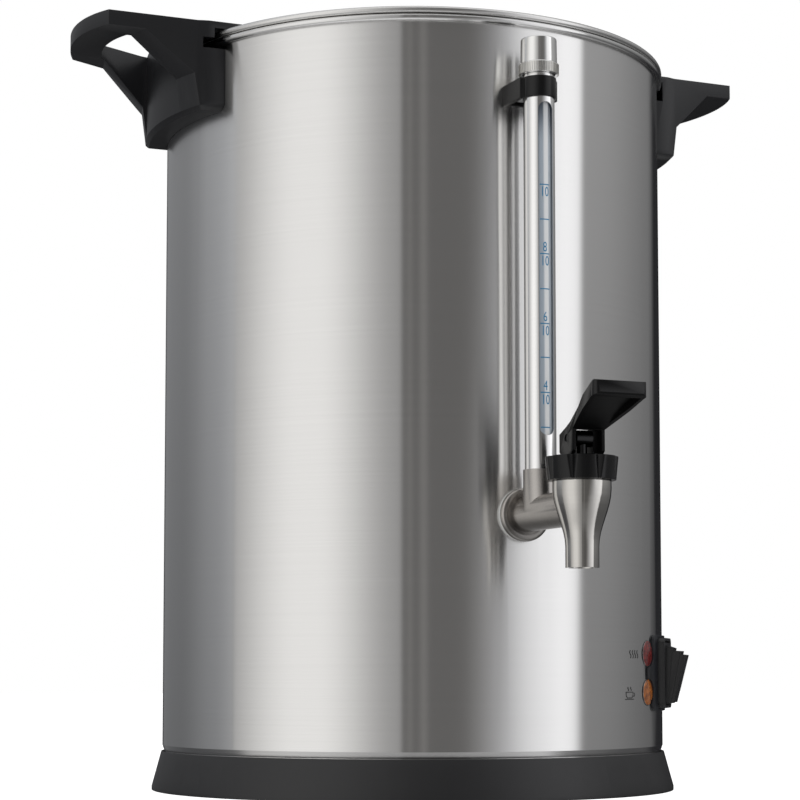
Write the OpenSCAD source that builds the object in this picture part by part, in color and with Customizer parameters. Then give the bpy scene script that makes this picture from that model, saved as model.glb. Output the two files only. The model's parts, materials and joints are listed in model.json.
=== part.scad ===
// Percolating coffee urn for about fifteen litres, with a non-drip tap and a sight gauge.
// The origin is on the body's axis at the table. +Z is up, the tap points towards -Y and
// the handles lie along X, with the lamps and the switch between the tap and the +X handle.

/* [Body] */
// Outer radius of the steel shell
shell_r = 158; // [154:1:162]
// Thickness of the shell
shell_wall = 1; // [0.8:0.1:1.2]
// Height of the top of the rolled rim
rim_z = 452.7; // [448:0.1:458]
// Thickness of the rolled rim
rim_roll_d = 4; // [3:0.5:5]
// Height of the tank floor beside its well
floor_z = 142; // [138:1:144]
// Thickness of the tank floor
floor_wall = 1; // [0.8:0.1:1.5]
// Inner radius of the well in the tank floor
well_r = 31; // [29:1:34]
// Depth of the well
well_depth = 10; // [8:1:12]

/* [Base ring] */
// Height of the base ring
base_h = 24; // [22:1:28]
// How far the base ring flares out from the shell
base_flare = 6.5; // [5:0.5:10]
// Thickness of the bottom plate
cover_wall = 1; // [0.8:0.1:1.5]
// Outer radius of the cord gland's flange
gland_r = 11; // [10:0.5:12]
// Radius of the gland's bore for the cord
gland_bore_r = 4; // [3.5:0.5:4.5]

/* [Lid] */
// Rise of the lid's dome
dome_rise = 15; // [12:1:18]
// Radius of the lid's dome on plan
dome_r = 125; // [110:1:125]
// Depth of the step that centres the lid in the tank
lid_step = 8; // [6:1:9]
// Thickness of the lid
lid_wall = 1; // [0.8:0.1:1.5]
// Radius of the knob
knob_r = 21; // [18:1:24]
// Height of the knob
knob_h = 28; // [24:1:32]

/* [Handles] */
// Half of a handle's width at the body
handle_w = 57; // [54:1:60]
// Half of a handle's width at the corners of its grip
grip_w = 41.5; // [40:0.5:45]
// Height of a handle's root
handle_h = 54; // [50:1:58]
// Reach of the grip out from the shell
grip_out = 66; // [60:1:70]
// Width of the grip bar seen from above
grip_bar = 19; // [17:1:21]
// Thickness of the grip bar
grip_t = 9; // [8:0.5:10]
// Rise of the grip from the rim out to its tip
grip_rise = 5; // [3:0.5:7]
// Thickness of the handle's root over the shell
handle_root = 14; // [13:0.5:16]
// Reach of the lip inwards from the shell's outside
lip_reach = 10.5; // [9:0.5:12]

/* [Tap] */
// Height of the tap's shank
tap_z = 163; // [160:1:166]
// Distance of the spout from the shell
spout_out = 72; // [68:1:76]
// Outer radius of the shank
shank_r = 10; // [9.5:0.5:10.5]
// Radius of the shank's bore
shank_bore_r = 6; // [5:0.5:6.5]
// Outer radius of the spout at its outlet
spout_r = 9.25; // [9:0.25:10]
// Radius of the spout's bore
spout_bore_r = 7.4; // [7:0.1:7.6]
// Drop of the spout's outlet below the shank
outlet_drop = 33.5; // [31:0.5:36]
// Outer radius of the tap body at its top
cup_r = 16.15; // [15.75:0.05:16.5]
// Radius of the bonnet nut
bonnet_r = 20; // [19.5:0.5:21]
// Number of flutes round the bonnet nut
bonnet_flutes = 9; // [8:1:12]
// Half of the lever's width at its tip
paddle_w = 16; // [14:0.5:18]
// Radius of the lever's pin
pin_r = 2; // [1.8:0.1:2.2]
// Rise of the lever's tip above its pin
lever_rise = 26.6; // [24:0.2:28]

/* [Gauge] */
// Distance of the gauge from the shell
gauge_out = 23; // [22:0.5:25]
// Outer radius of the guard tube
guard_r = 9; // [8.5:0.25:9.25]
// Thickness of the guard tube
guard_wall = 1; // [0.8:0.1:1.1]
// Height of the guard tube's top
guard_top = 424; // [420:1:426]
// Half of the width of the guard tube's window
window_w = 4.5; // [4:0.25:5]
// Length of the guard tube's window
window_l = 191; // [185:1:193]
// Outer radius of the glass tube
glass_r = 6; // [5.5:0.25:6.25]
// Thickness of the glass tube
glass_wall = 1.2; // [1:0.1:1.5]
// Height of the gauge's cap
cap_h = 21; // [19:1:23]
// Number of teeth of the cap's knurled ring
knurl_teeth = 36; // [24:2:40]

/* [Controls] */
// Angle of the lamps from the tap, in degrees
lamp_angle = 40.4; // [39:0.2:41]
// Angle of the switch from the tap, in degrees
switch_angle = 52.4; // [52:0.2:54]
// Height of the middle of the switch and the lamps
control_z = 72.6; // [70:0.2:75]
// Distance between the two lamps
lamp_pitch = 23.4; // [22:0.2:25]
// Radius of a lamp's bright bezel
bezel_r = 8; // [7.5:0.25:8.5]
// Half of the height of the switch's flange
flange_h = 21.5; // [21:0.5:23]
// How far the switch's flange stands proud
flange_proud = 5; // [4.5:0.5:5.5]

/* [Percolator] */
// Outer radius of the pump tube
tube_r = 5; // [4.5:0.25:5.5]
// Outer radius of the coffee basket
basket_r = 105; // [95:1:110]
// Height of the basket's underside above the table
basket_z = 360; // [356:1:362]
// Height of the basket
basket_h = 76; // [70:1:78]

/* [Heating] */
// Radius of the boiling element's ring
boil_ring_r = 52; // [46:1:56]
// Radius of the boiling element's sheath
boil_tube_r = 4.25; // [4:0.25:4.5]
// Radius of the keep-warm element's ring
warm_ring_r = 82; // [76:1:86]
// Radius of the keep-warm element's sheath
warm_tube_r = 3.25; // [3:0.25:3.5]

/* [Hidden] */

$fn = 96;
quarter = 90;
// Sides of the wide cylinders that cut thin pieces to the shell's curve
skin_fn = 720;
// One overrun serves all cuts
over = 20;
// Gaps: a seat between bodies, a joint within one body, a running fit and a free gap
seat_gap = 0.3;
weld_gap = 0.1;
run_gap = 0.05;
free_gap = 1.5;

shell_in_r = shell_r - shell_wall;
rim_roll_r = shell_in_r + rim_roll_d/2;
lid_roll_d = 4;
tank_in_r = shell_in_r - weld_gap;
floor_edge_rise = 2;
floor_skirt = 10;
well_z = floor_z - well_depth;
// Height of the tank floor's underside at a radius
function floor_under(r) =
    floor_z - floor_wall + floor_edge_rise*(r - well_r)/(tank_in_r - well_r);

// Turns +X to point outwards at an angle from the tap towards the +X handle
module outward(angle) {
    rotate([0, 0, angle - quarter]) children();
}

// Turns +Z to point outwards along +X
module lying() {
    rotate([0, quarter, 0]) children();
}

// An outline in X and Z, given a width along Y and centred on it
module side_profile(half_width) {
    rotate([quarter, 0, 0])
        linear_extrude(height = 2*half_width, center = true) children();
}

// A flat ring standing on the XY plane
module ring(outer, inner, height) {
    difference() {
        cylinder(r = outer, h = height);
        translate([0, 0, -over]) cylinder(r = inner, h = height + 2*over);
    }
}

// A flat outline with round corners, centred, made of squares and circles
module round_rect(half_x, half_y, corner) {
    square([2*half_x, 2*(half_y - corner)], center = true);
    square([2*(half_x - corner), 2*half_y], center = true);
    for (sx = [-1, 1], sy = [-1, 1])
        translate([sx*(half_x - corner), sy*(half_y - corner)]) circle(r = corner);
}

// A pan-head screw whose head's underside is at the origin, with its shank along -Z
module pan_screw(shank_radius, shank_length, head_radius, head_height) {
    translate([0, 0, -shank_length]) cylinder(r = shank_radius, h = shank_length);
    difference() {
        cylinder(r1 = head_radius, r2 = head_radius*screw_crown_share, h = head_height);
        translate([0, 0, head_height/2]) linear_extrude(height = over) {
            square([head_radius*screw_slot_share, head_height/2], center = true);
            square([head_height/2, head_radius*screw_slot_share], center = true);
        }
    }
}
screw_crown_share = 0.8;
screw_slot_share = 1.1;

// Shell: a turned-in foot, a straight wall and a rolled rim, with its openings
shell_foot_z = 18;
shell_bend_low = 24.3;
shell_bend_high = 28;
shell_turn_in = 1.3;
tap_hole_gap = 0.2;

module body_shell() {
    color([0.78, 0.77, 0.75]) difference() {
        union() {
            rotate_extrude() polygon([
                [shell_r - shell_turn_in, shell_foot_z], [shell_r - shell_turn_in, shell_bend_low],
                [shell_r, shell_bend_high], [shell_r, rim_z - rim_roll_d/2],
                [shell_in_r, rim_z - rim_roll_d/2], [shell_in_r, shell_bend_high],
                [shell_in_r - shell_turn_in, shell_bend_low],
                [shell_in_r - shell_turn_in, shell_foot_z]]);
            translate([0, 0, rim_z - rim_roll_d/2]) rotate_extrude()
                translate([rim_roll_r, 0]) circle(d = rim_roll_d);
        }
        outward(0) translate([shell_r, 0, tap_z]) lying()
            cylinder(r = shank_r + tap_hole_gap, h = 2*over, center = true);
        for (side = [-1, 1]) lamp_place(side)
            cylinder(r = lamp_barrel_r + weld_gap, h = 2*over, center = true);
        outward(switch_angle) translate([shell_r, 0, control_z]) lying()
            linear_extrude(height = 2*over, center = true)
                round_rect(housing_h + weld_gap, housing_w + weld_gap, housing_corner);
        outward(2*quarter) translate([shell_r, 0, gland_z]) lying()
            cylinder(r = gland_shank_r + weld_gap, h = 2*over, center = true);
        for (side = [-1, 1]) handle_screw_places(side)
            cylinder(r = handle_screw_r + weld_gap, h = 2*over, center = true);
    }
}

// Tank floor: a dished plate with the well that the pump stands in and a skirt at its edge
module tank_floor() {
    edge_z = floor_z + floor_edge_rise;
    color([0.72, 0.72, 0.71]) rotate_extrude() polygon([
        [0, well_z], [well_r + floor_wall, well_z], [well_r + floor_wall, floor_z - floor_wall],
        [tank_in_r - floor_wall, edge_z - floor_wall], [tank_in_r - floor_wall, edge_z - floor_skirt],
        [tank_in_r, edge_z - floor_skirt], [tank_in_r, edge_z],
        [well_r, floor_z], [well_r, well_z + floor_wall], [0, well_z + floor_wall]]);
}

// Elements: an open ring of sheathed tube with two terminals turned down
element_open = 28;
terminal_drop = 26;
terminal_pin_r = 2;
terminal_pin = 9;
terminal_rise_share = 0.8;

module ring_element(ring_r, sheath_r) {
    translate([0, 0, floor_under(ring_r - sheath_r) - weld_gap - sheath_r]) {
        rotate([0, 0, element_open/2])
            rotate_extrude(angle = 4*quarter - element_open) translate([ring_r, 0]) circle(r = sheath_r);
        for (side = [-1, 1]) rotate([0, 0, side*element_open/2]) translate([ring_r, 0, 0]) {
            translate([0, 0, -terminal_drop])
                cylinder(r = sheath_r + weld_gap, h = terminal_drop + sheath_r*terminal_rise_share);
            translate([0, 0, -terminal_drop - terminal_pin])
                cylinder(r = terminal_pin_r, h = terminal_pin + sheath_r);
        }
    }
}

module boiling_element() {
    color([0.55, 0.54, 0.52]) ring_element(boil_ring_r, boil_tube_r);
}

module keep_warm_element() {
    color([0.55, 0.54, 0.52]) rotate([0, 0, 2*quarter]) ring_element(warm_ring_r, warm_tube_r);
}

// Disc thermostats: a can under the floor, a moulded back and two blades
sensor_inset = 39;
sensor_place_r = shell_in_r - sensor_inset;
sensor_r = 11;
can_h = 5;
back_h = 7;
back_r = 8.5;
blade_h = 8;
blade_w = 6.3;
blade_t = 0.8;
blade_pitch = 8;

module disc_sensor() {
    translate([sensor_place_r, 0, floor_under(sensor_place_r - sensor_r) - weld_gap - can_h]) {
        cylinder(r = sensor_r, h = can_h);
        translate([0, 0, -back_h]) cylinder(r = back_r, h = back_h);
        for (side = [-1, 1]) translate([side*blade_pitch/2 - blade_t/2, -blade_w/2, -back_h - blade_h])
            cube([blade_t, blade_w, blade_h + blade_t]);
    }
}

module thermostat() {
    color([0.35, 0.33, 0.3]) rotate([0, 0, quarter/2]) disc_sensor();
}

module thermal_cutout() {
    color([0.82, 0.8, 0.74]) rotate([0, 0, quarter + quarter/2]) disc_sensor();
}

// Terminal block on the bottom plate: a moulding with a row of clamp wells
block_l = 46;
block_w = 20;
block_h = 16;
block_inset = 46;
block_y = shell_r - block_inset;
block_ways = 3;
block_well_r = 3.5;
block_entry_r = 2.4;

module terminal_block() {
    pitch = block_l/block_ways;
    color([0.9, 0.88, 0.82]) translate([0, block_y, cover_top]) difference() {
        translate([-block_l/2, -block_w/2, weld_gap]) cube([block_l, block_w, block_h]);
        for (way = [0:block_ways - 1]) translate([(way + 0.5)*pitch - block_l/2, 0, block_h/2]) {
            translate([0, 0, block_entry_r]) cylinder(r = block_well_r, h = over);
            rotate([quarter, 0, 0]) cylinder(r = block_entry_r, h = 2*block_w, center = true);
        }
    }
}

// Base ring: a flared skirt with a pocket for the shell and a ledge for the bottom plate
base_lip = 2.5;
base_lap = 0.7;
base_top_r = shell_r + base_lap;
base_pocket_gap = 0.6;
base_pocket_r = shell_r - shell_turn_in + base_pocket_gap;
foot_w = 9.5;
base_r = shell_r + base_flare;
foot_r = base_r - foot_w;
ledge_w = 6;
ledge_r = foot_r - ledge_w;
plate_ledge_z = 8;
cover_top = plate_ledge_z - weld_gap;
base_boss_r = 5.5;
base_boss_h = 8;
base_boss_inset = 3.5;
base_boss_place = ledge_r - base_boss_inset;
plate_screw_r = 2;
plate_screw_l = 9;
plate_screw_angle = 45;

module plate_screw_places() {
    for (i = [0:3]) rotate([0, 0, plate_screw_angle + i*quarter])
        translate([base_boss_place, 0, 0]) children();
}

module base_ring() {
    color([0.09, 0.09, 0.1]) difference() {
        union() {
            rotate_extrude() polygon([
                [foot_r, 0], [base_r, 0], [base_r, base_lip], [base_top_r, base_h],
                [base_pocket_r, base_h], [base_pocket_r, shell_foot_z - weld_gap],
                [ledge_r, shell_foot_z - weld_gap], [ledge_r, plate_ledge_z], [foot_r, plate_ledge_z]]);
            plate_screw_places() translate([0, 0, plate_ledge_z + seat_gap])
                cylinder(r = base_boss_r, h = base_boss_h);
        }
        plate_screw_places() translate([0, 0, -over])
            cylinder(r = plate_screw_r + weld_gap, h = plate_screw_l + over + plate_ledge_z);
    }
}

// Bottom plate: a stiffened disc with slots for cooling and four screw holes
plate_bead_r = 70;
plate_bead = 2;
plate_slots = 10;
plate_slot_w = 2.5;
plate_slot_in = 84;
plate_slot_out = 100;

module bottom_plate() {
    plate_r = foot_r - seat_gap;
    color([0.6, 0.6, 0.6]) difference() {
        rotate_extrude() polygon([
            [0, cover_top - cover_wall - plate_bead], [plate_bead_r, cover_top - cover_wall - plate_bead],
            [plate_bead_r + plate_bead, cover_top - cover_wall], [plate_r, cover_top - cover_wall],
            [plate_r, cover_top], [plate_bead_r + plate_bead - cover_wall/2, cover_top],
            [plate_bead_r - cover_wall/2, cover_top - plate_bead], [0, cover_top - plate_bead]]);
        plate_screw_places() translate([0, 0, -over])
            cylinder(r = plate_screw_r + weld_gap, h = 2*over);
        for (i = [0:plate_slots - 1]) rotate([0, 0, i*4*quarter/plate_slots]) {
            translate([plate_slot_in, -plate_slot_w/2, 0])
                cube([plate_slot_out - plate_slot_in, plate_slot_w, over]);
            for (x = [plate_slot_in, plate_slot_out]) translate([x, 0, 0])
                cylinder(d = plate_slot_w, h = over);
        }
    }
}

screw_head_r = 4;
screw_head_h = 2.4;

module plate_screws() {
    color([0.7, 0.7, 0.68]) plate_screw_places()
        translate([0, 0, cover_top - cover_wall - weld_gap]) rotate([2*quarter, 0, 0])
            pan_screw(plate_screw_r, plate_screw_l, screw_head_r, screw_head_h);
}

// Cord gland at the back: a flanged bush with a tapered nose and a nut inside the shell
gland_z = 46;
gland_shank_r = 8;
gland_flange = 3;
gland_nose = 13;
gland_nose_r = 6.5;
gland_shank = 16;
gland_grip = 13; // length of the nose that holds the cord
gland_relief = 0.8;
grip_in = gland_flange + gland_nose - gland_grip;
gland_nut_r = 11.5;
gland_nut_h = 5;
gland_collar_r = 9.5;

module cord_gland() {
    color([0.08, 0.08, 0.08]) outward(2*quarter) difference() {
        translate([shell_r, 0, gland_z]) lying() {
            translate([0, 0, -gland_shank]) cylinder(r = gland_shank_r, h = gland_shank + gland_flange);
            translate([0, 0, -gland_flange]) cylinder(r = gland_r, h = 2*gland_flange);
            translate([0, 0, gland_flange]) cylinder(r1 = gland_shank_r, r2 = gland_nose_r, h = gland_nose);
        }
        translate([shell_r, 0, gland_z]) lying() {
            translate([0, 0, -gland_shank - over])
                cylinder(r = gland_bore_r + gland_relief, h = gland_shank + grip_in + over);
            translate([0, 0, grip_in - over])
                cylinder(r = gland_bore_r, h = gland_grip + 2*over);
        }
        difference() {
            translate([0, 0, gland_z - over]) cylinder(r = shell_r + weld_gap, h = 2*over);
            translate([0, 0, gland_z]) lying() cylinder(r = gland_shank_r, h = 2*shell_r);
        }
    }
}

module gland_nut() {
    start = shell_in_r - gland_shank/2 - gland_nut_h/2;
    collar_end = sqrt(shell_in_r*shell_in_r - gland_collar_r*gland_collar_r) - weld_gap;
    color([0.1, 0.1, 0.1]) outward(2*quarter) translate([start, 0, gland_z]) lying() difference() {
        union() {
            cylinder(r = gland_nut_r, h = gland_nut_h, $fn = 6);
            cylinder(r = gland_collar_r, h = collar_end - start);
        }
        translate([0, 0, -over]) cylinder(r = gland_shank_r + run_gap, h = 2*over);
    }
}

// Handles: a root that hugs the shell, two gussets and an arched grip round a hand gap
slope_low_rise = 22;
slope_run = 39;
slope_past = 1.5;
grip_reach = shell_r + grip_out;
grip_sag = 9;
root_corner = 6;
root_foot_in = 2.5;
gap_w_body = 35;
gap_w_grip = 27;
groove_drop = 7.2;
groove_h = 6.5;
groove_depth = 12.5;
lip_inset = 6.2;
lip_t = 4;
lip_gap = 1;
handle_screw_angle = 13;
handle_screw_rise = 14;
handle_screw_r = 2.5;
handle_screw_l = 12;
handle_head_r = 4.6;
handle_head_h = 2.8;

handle_top = rim_z + seat_gap + lid_roll_d + lip_gap + lip_t;
handle_high = handle_top + grip_rise;
handle_bottom = handle_top - handle_h;
handle_screw_z = handle_bottom + handle_screw_rise;

// The grip's outer arc, through its corners and its furthest point
grip_arc_r = (grip_w*grip_w + grip_sag*grip_sag)/(2*grip_sag);
grip_arc_x = grip_reach - grip_arc_r;
root_r = shell_r + handle_root;

// Screw places of one handle, with +Z pointing outwards through the shell
module handle_screw_places(side) {
    for (turn = [-1, 1]) outward(side*quarter + turn*handle_screw_angle)
        translate([shell_in_r, 0, handle_screw_z]) lying() children();
}

module handle_plan() {
    intersection() {
        translate([grip_arc_x, 0]) circle(r = grip_arc_r);
        polygon([[0, -handle_w], [shell_r, -handle_w], [grip_reach - grip_sag, -grip_w],
            [grip_reach, -grip_w], [grip_reach, grip_w], [grip_reach - grip_sag, grip_w],
            [shell_r, handle_w], [0, handle_w]]);
    }
}

module hand_gap_plan() {
    difference() {
        intersection() {
            translate([grip_arc_x, 0]) circle(r = grip_arc_r - grip_bar);
            polygon([[0, -gap_w_body], [root_r, -gap_w_body], [grip_reach - grip_bar, -gap_w_grip],
                [grip_reach - grip_bar, gap_w_grip], [root_r, gap_w_body], [0, gap_w_body]]);
        }
        circle(r = root_r);
    }
}

// The grip's top and underside are two parallel planes that rise outwards from the lip
function grip_z(x) = handle_top + grip_rise*(x - shell_r - lip_inset)/(grip_out - lip_inset);

module handle() {
    far = grip_reach + over;
    slope_foot = [root_r + root_foot_in, handle_bottom + slope_low_rise];
    slope_head = [shell_r + slope_run, handle_top - grip_t];
    slope_end = slope_foot + slope_past*(slope_head - slope_foot);
    difference() {
        intersection() {
            translate([0, 0, handle_bottom]) linear_extrude(height = handle_h + over) handle_plan();
            side_profile(handle_w + over) polygon([[0, handle_bottom - over],
                [far, handle_bottom - over], [far, grip_z(far)], [shell_r + lip_inset, handle_top],
                [0, handle_top]]);
            translate([0, 0, handle_high]) lying() linear_extrude(height = far)
                round_rect(handle_high - handle_bottom, handle_w, root_corner);
            union() {
                rotate_extrude() polygon([[0, handle_bottom], [root_r - root_foot_in, handle_bottom],
                    [root_r, handle_bottom + root_foot_in], slope_foot, slope_end, [0, slope_end[1]]]);
                side_profile(handle_w + over) polygon([[root_r, grip_z(root_r) - grip_t],
                    [far, grip_z(far) - grip_t], [far, handle_high + over], [root_r, handle_high + over]]);
            }
        }
        translate([0, 0, handle_bottom - over])
            linear_extrude(height = handle_h + 3*over) hand_gap_plan();
        rotate_extrude(angle = quarter) translate([shell_r - lip_reach, rim_z - groove_drop])
            square([lip_reach + groove_depth, groove_h]);
        rotate_extrude() polygon([
            [0, handle_bottom - over], [shell_r + weld_gap, handle_bottom - over],
            [shell_r + weld_gap, rim_z - groove_drop], [shell_r + lip_inset, rim_z - groove_drop],
            [shell_r + lip_inset, handle_top - lip_t], [shell_r - lip_reach, handle_top - lip_t],
            [shell_r - lip_reach, handle_top + over], [0, handle_top + over]]);
        for (turn = [-1, 1]) rotate([0, 0, turn*handle_screw_angle])
            translate([shell_in_r, 0, handle_screw_z]) lying()
                cylinder(r = handle_screw_r + weld_gap, h = handle_screw_l + weld_gap);
    }
}

module handle_left() {
    color([0.08, 0.08, 0.09]) outward(-quarter) handle();
}

module handle_right() {
    color([0.08, 0.08, 0.09]) outward(quarter) handle();
}

module handle_screws() {
    color([0.7, 0.7, 0.68]) for (side = [-1, 1]) handle_screw_places(side)
        translate([0, 0, -seat_gap]) rotate([2*quarter, 0, 0])
            pan_screw(handle_screw_r, handle_screw_l, handle_head_r, handle_head_h);
}

// Lid: a rolled edge on the rim, a flange cut away under the lips, a centring step and a dome
lid_roll_z = rim_z + seat_gap + lid_roll_d/2;
lid_cut_r = shell_r - lip_reach - free_gap;
lid_step_r = lid_cut_r - free_gap;
lid_flange_z = lid_roll_z - lid_wall/2;
dome_arc_r = (dome_r*dome_r + dome_rise*dome_rise)/(2*dome_rise);
dome_foot_z = lid_flange_z - lid_step;
dome_top = dome_foot_z + dome_rise + lid_wall;
knob_screw_r = 2.5;

module lid() {
    color([0.8, 0.79, 0.78]) difference() {
        union() {
            translate([0, 0, lid_roll_z]) rotate_extrude()
                translate([rim_roll_r, 0]) circle(d = lid_roll_d);
            rotate_extrude() {
                translate([lid_step_r - lid_wall, lid_flange_z])
                    square([rim_roll_r - lid_step_r + lid_wall, lid_wall]);
                translate([lid_step_r - lid_wall, dome_foot_z]) square([lid_wall, lid_step + lid_wall]);
                translate([dome_r - lid_wall, dome_foot_z])
                    square([lid_step_r - dome_r + lid_wall, lid_wall]);
                intersection() {
                    translate([0, dome_foot_z + dome_rise - dome_arc_r]) difference() {
                        circle(r = dome_arc_r + lid_wall, $fn = skin_fn);
                        circle(r = dome_arc_r, $fn = skin_fn);
                    }
                    translate([0, dome_foot_z]) square([dome_r, dome_rise + lid_wall]);
                }
            }
        }
        for (side = [-1, 1]) outward(side*quarter) intersection() {
            translate([0, 0, dome_foot_z]) ring(shell_r + over, lid_cut_r, 2*over);
            translate([lid_cut_r/2, -handle_w - free_gap, dome_foot_z])
                cube([shell_r, 2*(handle_w + free_gap), 2*over]);
        }
        translate([0, 0, dome_foot_z]) cylinder(r = knob_screw_r + weld_gap, h = 2*over);
    }
}

knob_neck_r = 10;
knob_foot_r = 14;
knob_head_h = 13;
knob_edge = 4;
knob_dish = 1.5;

module lid_knob() {
    head_z = knob_h - knob_head_h;
    color([0.08, 0.08, 0.09]) translate([0, 0, dome_top + weld_gap]) difference() {
        rotate_extrude() {
            polygon([[0, 0], [knob_foot_r, 0], [knob_neck_r, knob_edge], [knob_neck_r, head_z],
                [knob_r - knob_edge, head_z + knob_dish], [knob_r - knob_edge, knob_h - knob_dish],
                [0, knob_h]]);
            intersection() {
                translate([knob_r - knob_edge - knob_dish, head_z + knob_head_h/2])
                    circle(r = knob_edge + knob_dish);
                translate([0, head_z]) square([knob_r, knob_head_h]);
            }
        }
        translate([0, 0, -over]) cylinder(r = knob_screw_r + weld_gap, h = knob_screw_l + over);
    }
}

knob_screw_l = 18;

module knob_screw() {
    color([0.7, 0.7, 0.68]) translate([0, 0, dome_top - lid_wall - weld_gap]) rotate([2*quarter, 0, 0])
        pan_screw(knob_screw_r, knob_screw_l, handle_head_r, handle_head_h);
}

// Percolator: a bell foot in the well, a pump tube with a collar, a valve disc and a basket
tube_wall = 0.8;
tube_above = 8;
tube_top = basket_z + basket_h + tube_above;
foot_flare_r = 27;
foot_wall = 1;
foot_z = well_z + floor_wall + seat_gap;
foot_h = 13;
seat_plate = 1.5;
seat_hole_r = 3.5;
chamber_r = 8;
chamber_h = 6;
foot_slots = 4;
foot_slot_w = 8;
foot_slot_h = 3;
collar_r = 9;
collar_h = 3;
valve_r = 6;
valve_t = 1.2;
basket_wall = 0.8;
basket_rim = 3;
sleeve_wall = 1.3;
sleeve_r = tube_r + seat_gap + sleeve_wall;
sleeve_h = 68;
basket_holes = [12, 20, 28, 36];
basket_hole_r = 1.8;
cover_rim = 4;
cover_holes = [10, 20, 30];

seat_plate_z = foot_z + foot_h;
tube_bottom = seat_plate_z + seat_plate + chamber_h;

module pump_tube() {
    color([0.75, 0.75, 0.74]) {
        translate([0, 0, tube_bottom]) ring(tube_r, tube_r - tube_wall, tube_top - tube_bottom);
        translate([0, 0, basket_z - collar_h - weld_gap]) ring(collar_r, tube_r - tube_wall/2, collar_h);
    }
}

module pump_foot() {
    color([0.72, 0.72, 0.71]) difference() {
        rotate_extrude() polygon([
            [foot_flare_r - foot_wall, foot_z], [foot_flare_r, foot_z],
            [chamber_r + foot_wall, seat_plate_z], [chamber_r + foot_wall, tube_bottom + chamber_h/2],
            [tube_r + weld_gap, tube_bottom + chamber_h/2], [tube_r + weld_gap, tube_bottom],
            [chamber_r, tube_bottom], [chamber_r, seat_plate_z + seat_plate],
            [seat_hole_r, seat_plate_z + seat_plate], [seat_hole_r, seat_plate_z],
            [chamber_r, seat_plate_z - foot_wall]]);
        for (i = [0:foot_slots - 1]) rotate([0, 0, i*4*quarter/foot_slots])
            translate([0, -foot_slot_w/2, foot_z - over])
                cube([foot_flare_r + over, foot_slot_w, foot_slot_h + over]);
    }
}

module pump_valve() {
    color([0.3, 0.3, 0.32]) translate([0, 0, seat_plate_z + seat_plate + seat_gap])
        cylinder(r = valve_r, h = valve_t);
}

// Rings of drain holes: each count has its own circle, spaced evenly out to an outer radius
module drain_holes(counts, outer) {
    for (i = [0:len(counts) - 1], j = [0:counts[i] - 1])
        rotate([0, 0, j*4*quarter/counts[i]]) translate([outer*(i + 1)/(len(counts) + 0.5), 0, -over])
            cylinder(r = basket_hole_r, h = 2*over, $fn = 24);
}

module coffee_basket() {
    color([0.74, 0.74, 0.73]) translate([0, 0, basket_z]) {
        difference() {
            rotate_extrude() polygon([
                [0, 0], [basket_r, 0], [basket_r, basket_h - basket_wall],
                [basket_r + basket_rim, basket_h - basket_wall], [basket_r + basket_rim, basket_h],
                [basket_r - basket_wall, basket_h], [basket_r - basket_wall, basket_wall],
                [0, basket_wall]]);
            translate([0, 0, -over]) cylinder(r = tube_r + seat_gap, h = 2*over);
            drain_holes(basket_holes, basket_r);
        }
        ring(sleeve_r, tube_r + seat_gap, sleeve_h);
    }
}

module basket_cover() {
    cover_r = basket_r - basket_wall - seat_gap;
    cover_z = basket_z + basket_h + seat_gap;
    color([0.76, 0.76, 0.75]) translate([0, 0, cover_z]) difference() {
        rotate_extrude() polygon([
            [0, -cover_rim], [cover_r - basket_wall, -cover_rim], [cover_r - basket_wall, 0],
            [basket_r + basket_rim/2, 0], [basket_r + basket_rim/2, basket_wall],
            [cover_r - 2*basket_wall, basket_wall], [cover_r - 2*basket_wall, basket_wall - cover_rim],
            [0, basket_wall - cover_rim]]);
        translate([0, 0, -over]) cylinder(r = tube_r + free_gap, h = 2*over);
        drain_holes(cover_holes, cover_r);
    }
}

// Tap, drawn with +X outwards: gaskets, shank with the gauge's stub, lock nut, body, bonnet,
// spring, stem with its silicone cup, and the lever whose cam foot lifts the stem
gauge_x = shell_r + gauge_out;
spout_x = shell_r + spout_out;
wall_flange_r = 15.25;
wall_flange_t = 2.5;
gasket_t = 1.8;
shank_inside = 15;
lock_nut_r = 15;
lock_nut_t = 5;
stub_rise = 24;
stub_top = tap_z + stub_rise;
stub_socket = 7;
glass_socket = 11;
glass_seat_z = stub_top - glass_socket;
stub_bore_r = 4;
outlet_z = tap_z - outlet_drop;
cup_rise = 14;
cup_top = tap_z + cup_rise;
cup_straight = 5;
goblet_steps = 8;
spout_straight = 11.5;
neck_r = 13.4;
neck_h = 7;
chamber_in_r = 10.5;
valve_seat_drop = 12;
seat_low = tap_z - valve_seat_drop;
valve_seat_h = 6;
seat_high = seat_low + valve_seat_h;
bonnet_h = 13;
bonnet_top = cup_top + bonnet_h;
bonnet_taper = 1.2;
bonnet_skirt = 1.3;
flute_r = 2.4;
flute_out = 0.5;
seal_t = 1.8;
stem_r = 3;
head_r = 4.5;
head_w = 4.8;
pin_rise = 10;
pin_z = bonnet_top + pin_rise;
pin_half = 8.8;
yoke_w = 8.4;
yoke_in_w = 5.2;
yoke_x = 8.25;
yoke_round = 2.5;
yoke_roof = 1;
yoke_slot_in = 1.2;
paddle_reach = 45.5;
cup_gap = 0.5;
cup_h = 4;

module tap_frame() {
    outward(0) children();
}

module saddle_gasket(low_r, high_r) {
    difference() {
        translate([0, 0, tap_z]) lying() ring_between(low_r, high_r);
        translate([0, 0, tap_z - 2*over]) children();
    }
}

module ring_between(start, end) {
    translate([0, 0, start]) ring(wall_flange_r, shank_r + weld_gap, end - start);
}

module tap_gasket() {
    color([0.9, 0.9, 0.88]) tap_frame()
        saddle_gasket(shell_r - wall_flange_t, shell_r + gasket_t)
            cylinder(r = shell_r + weld_gap, h = 4*over, $fn = skin_fn);
}

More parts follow.
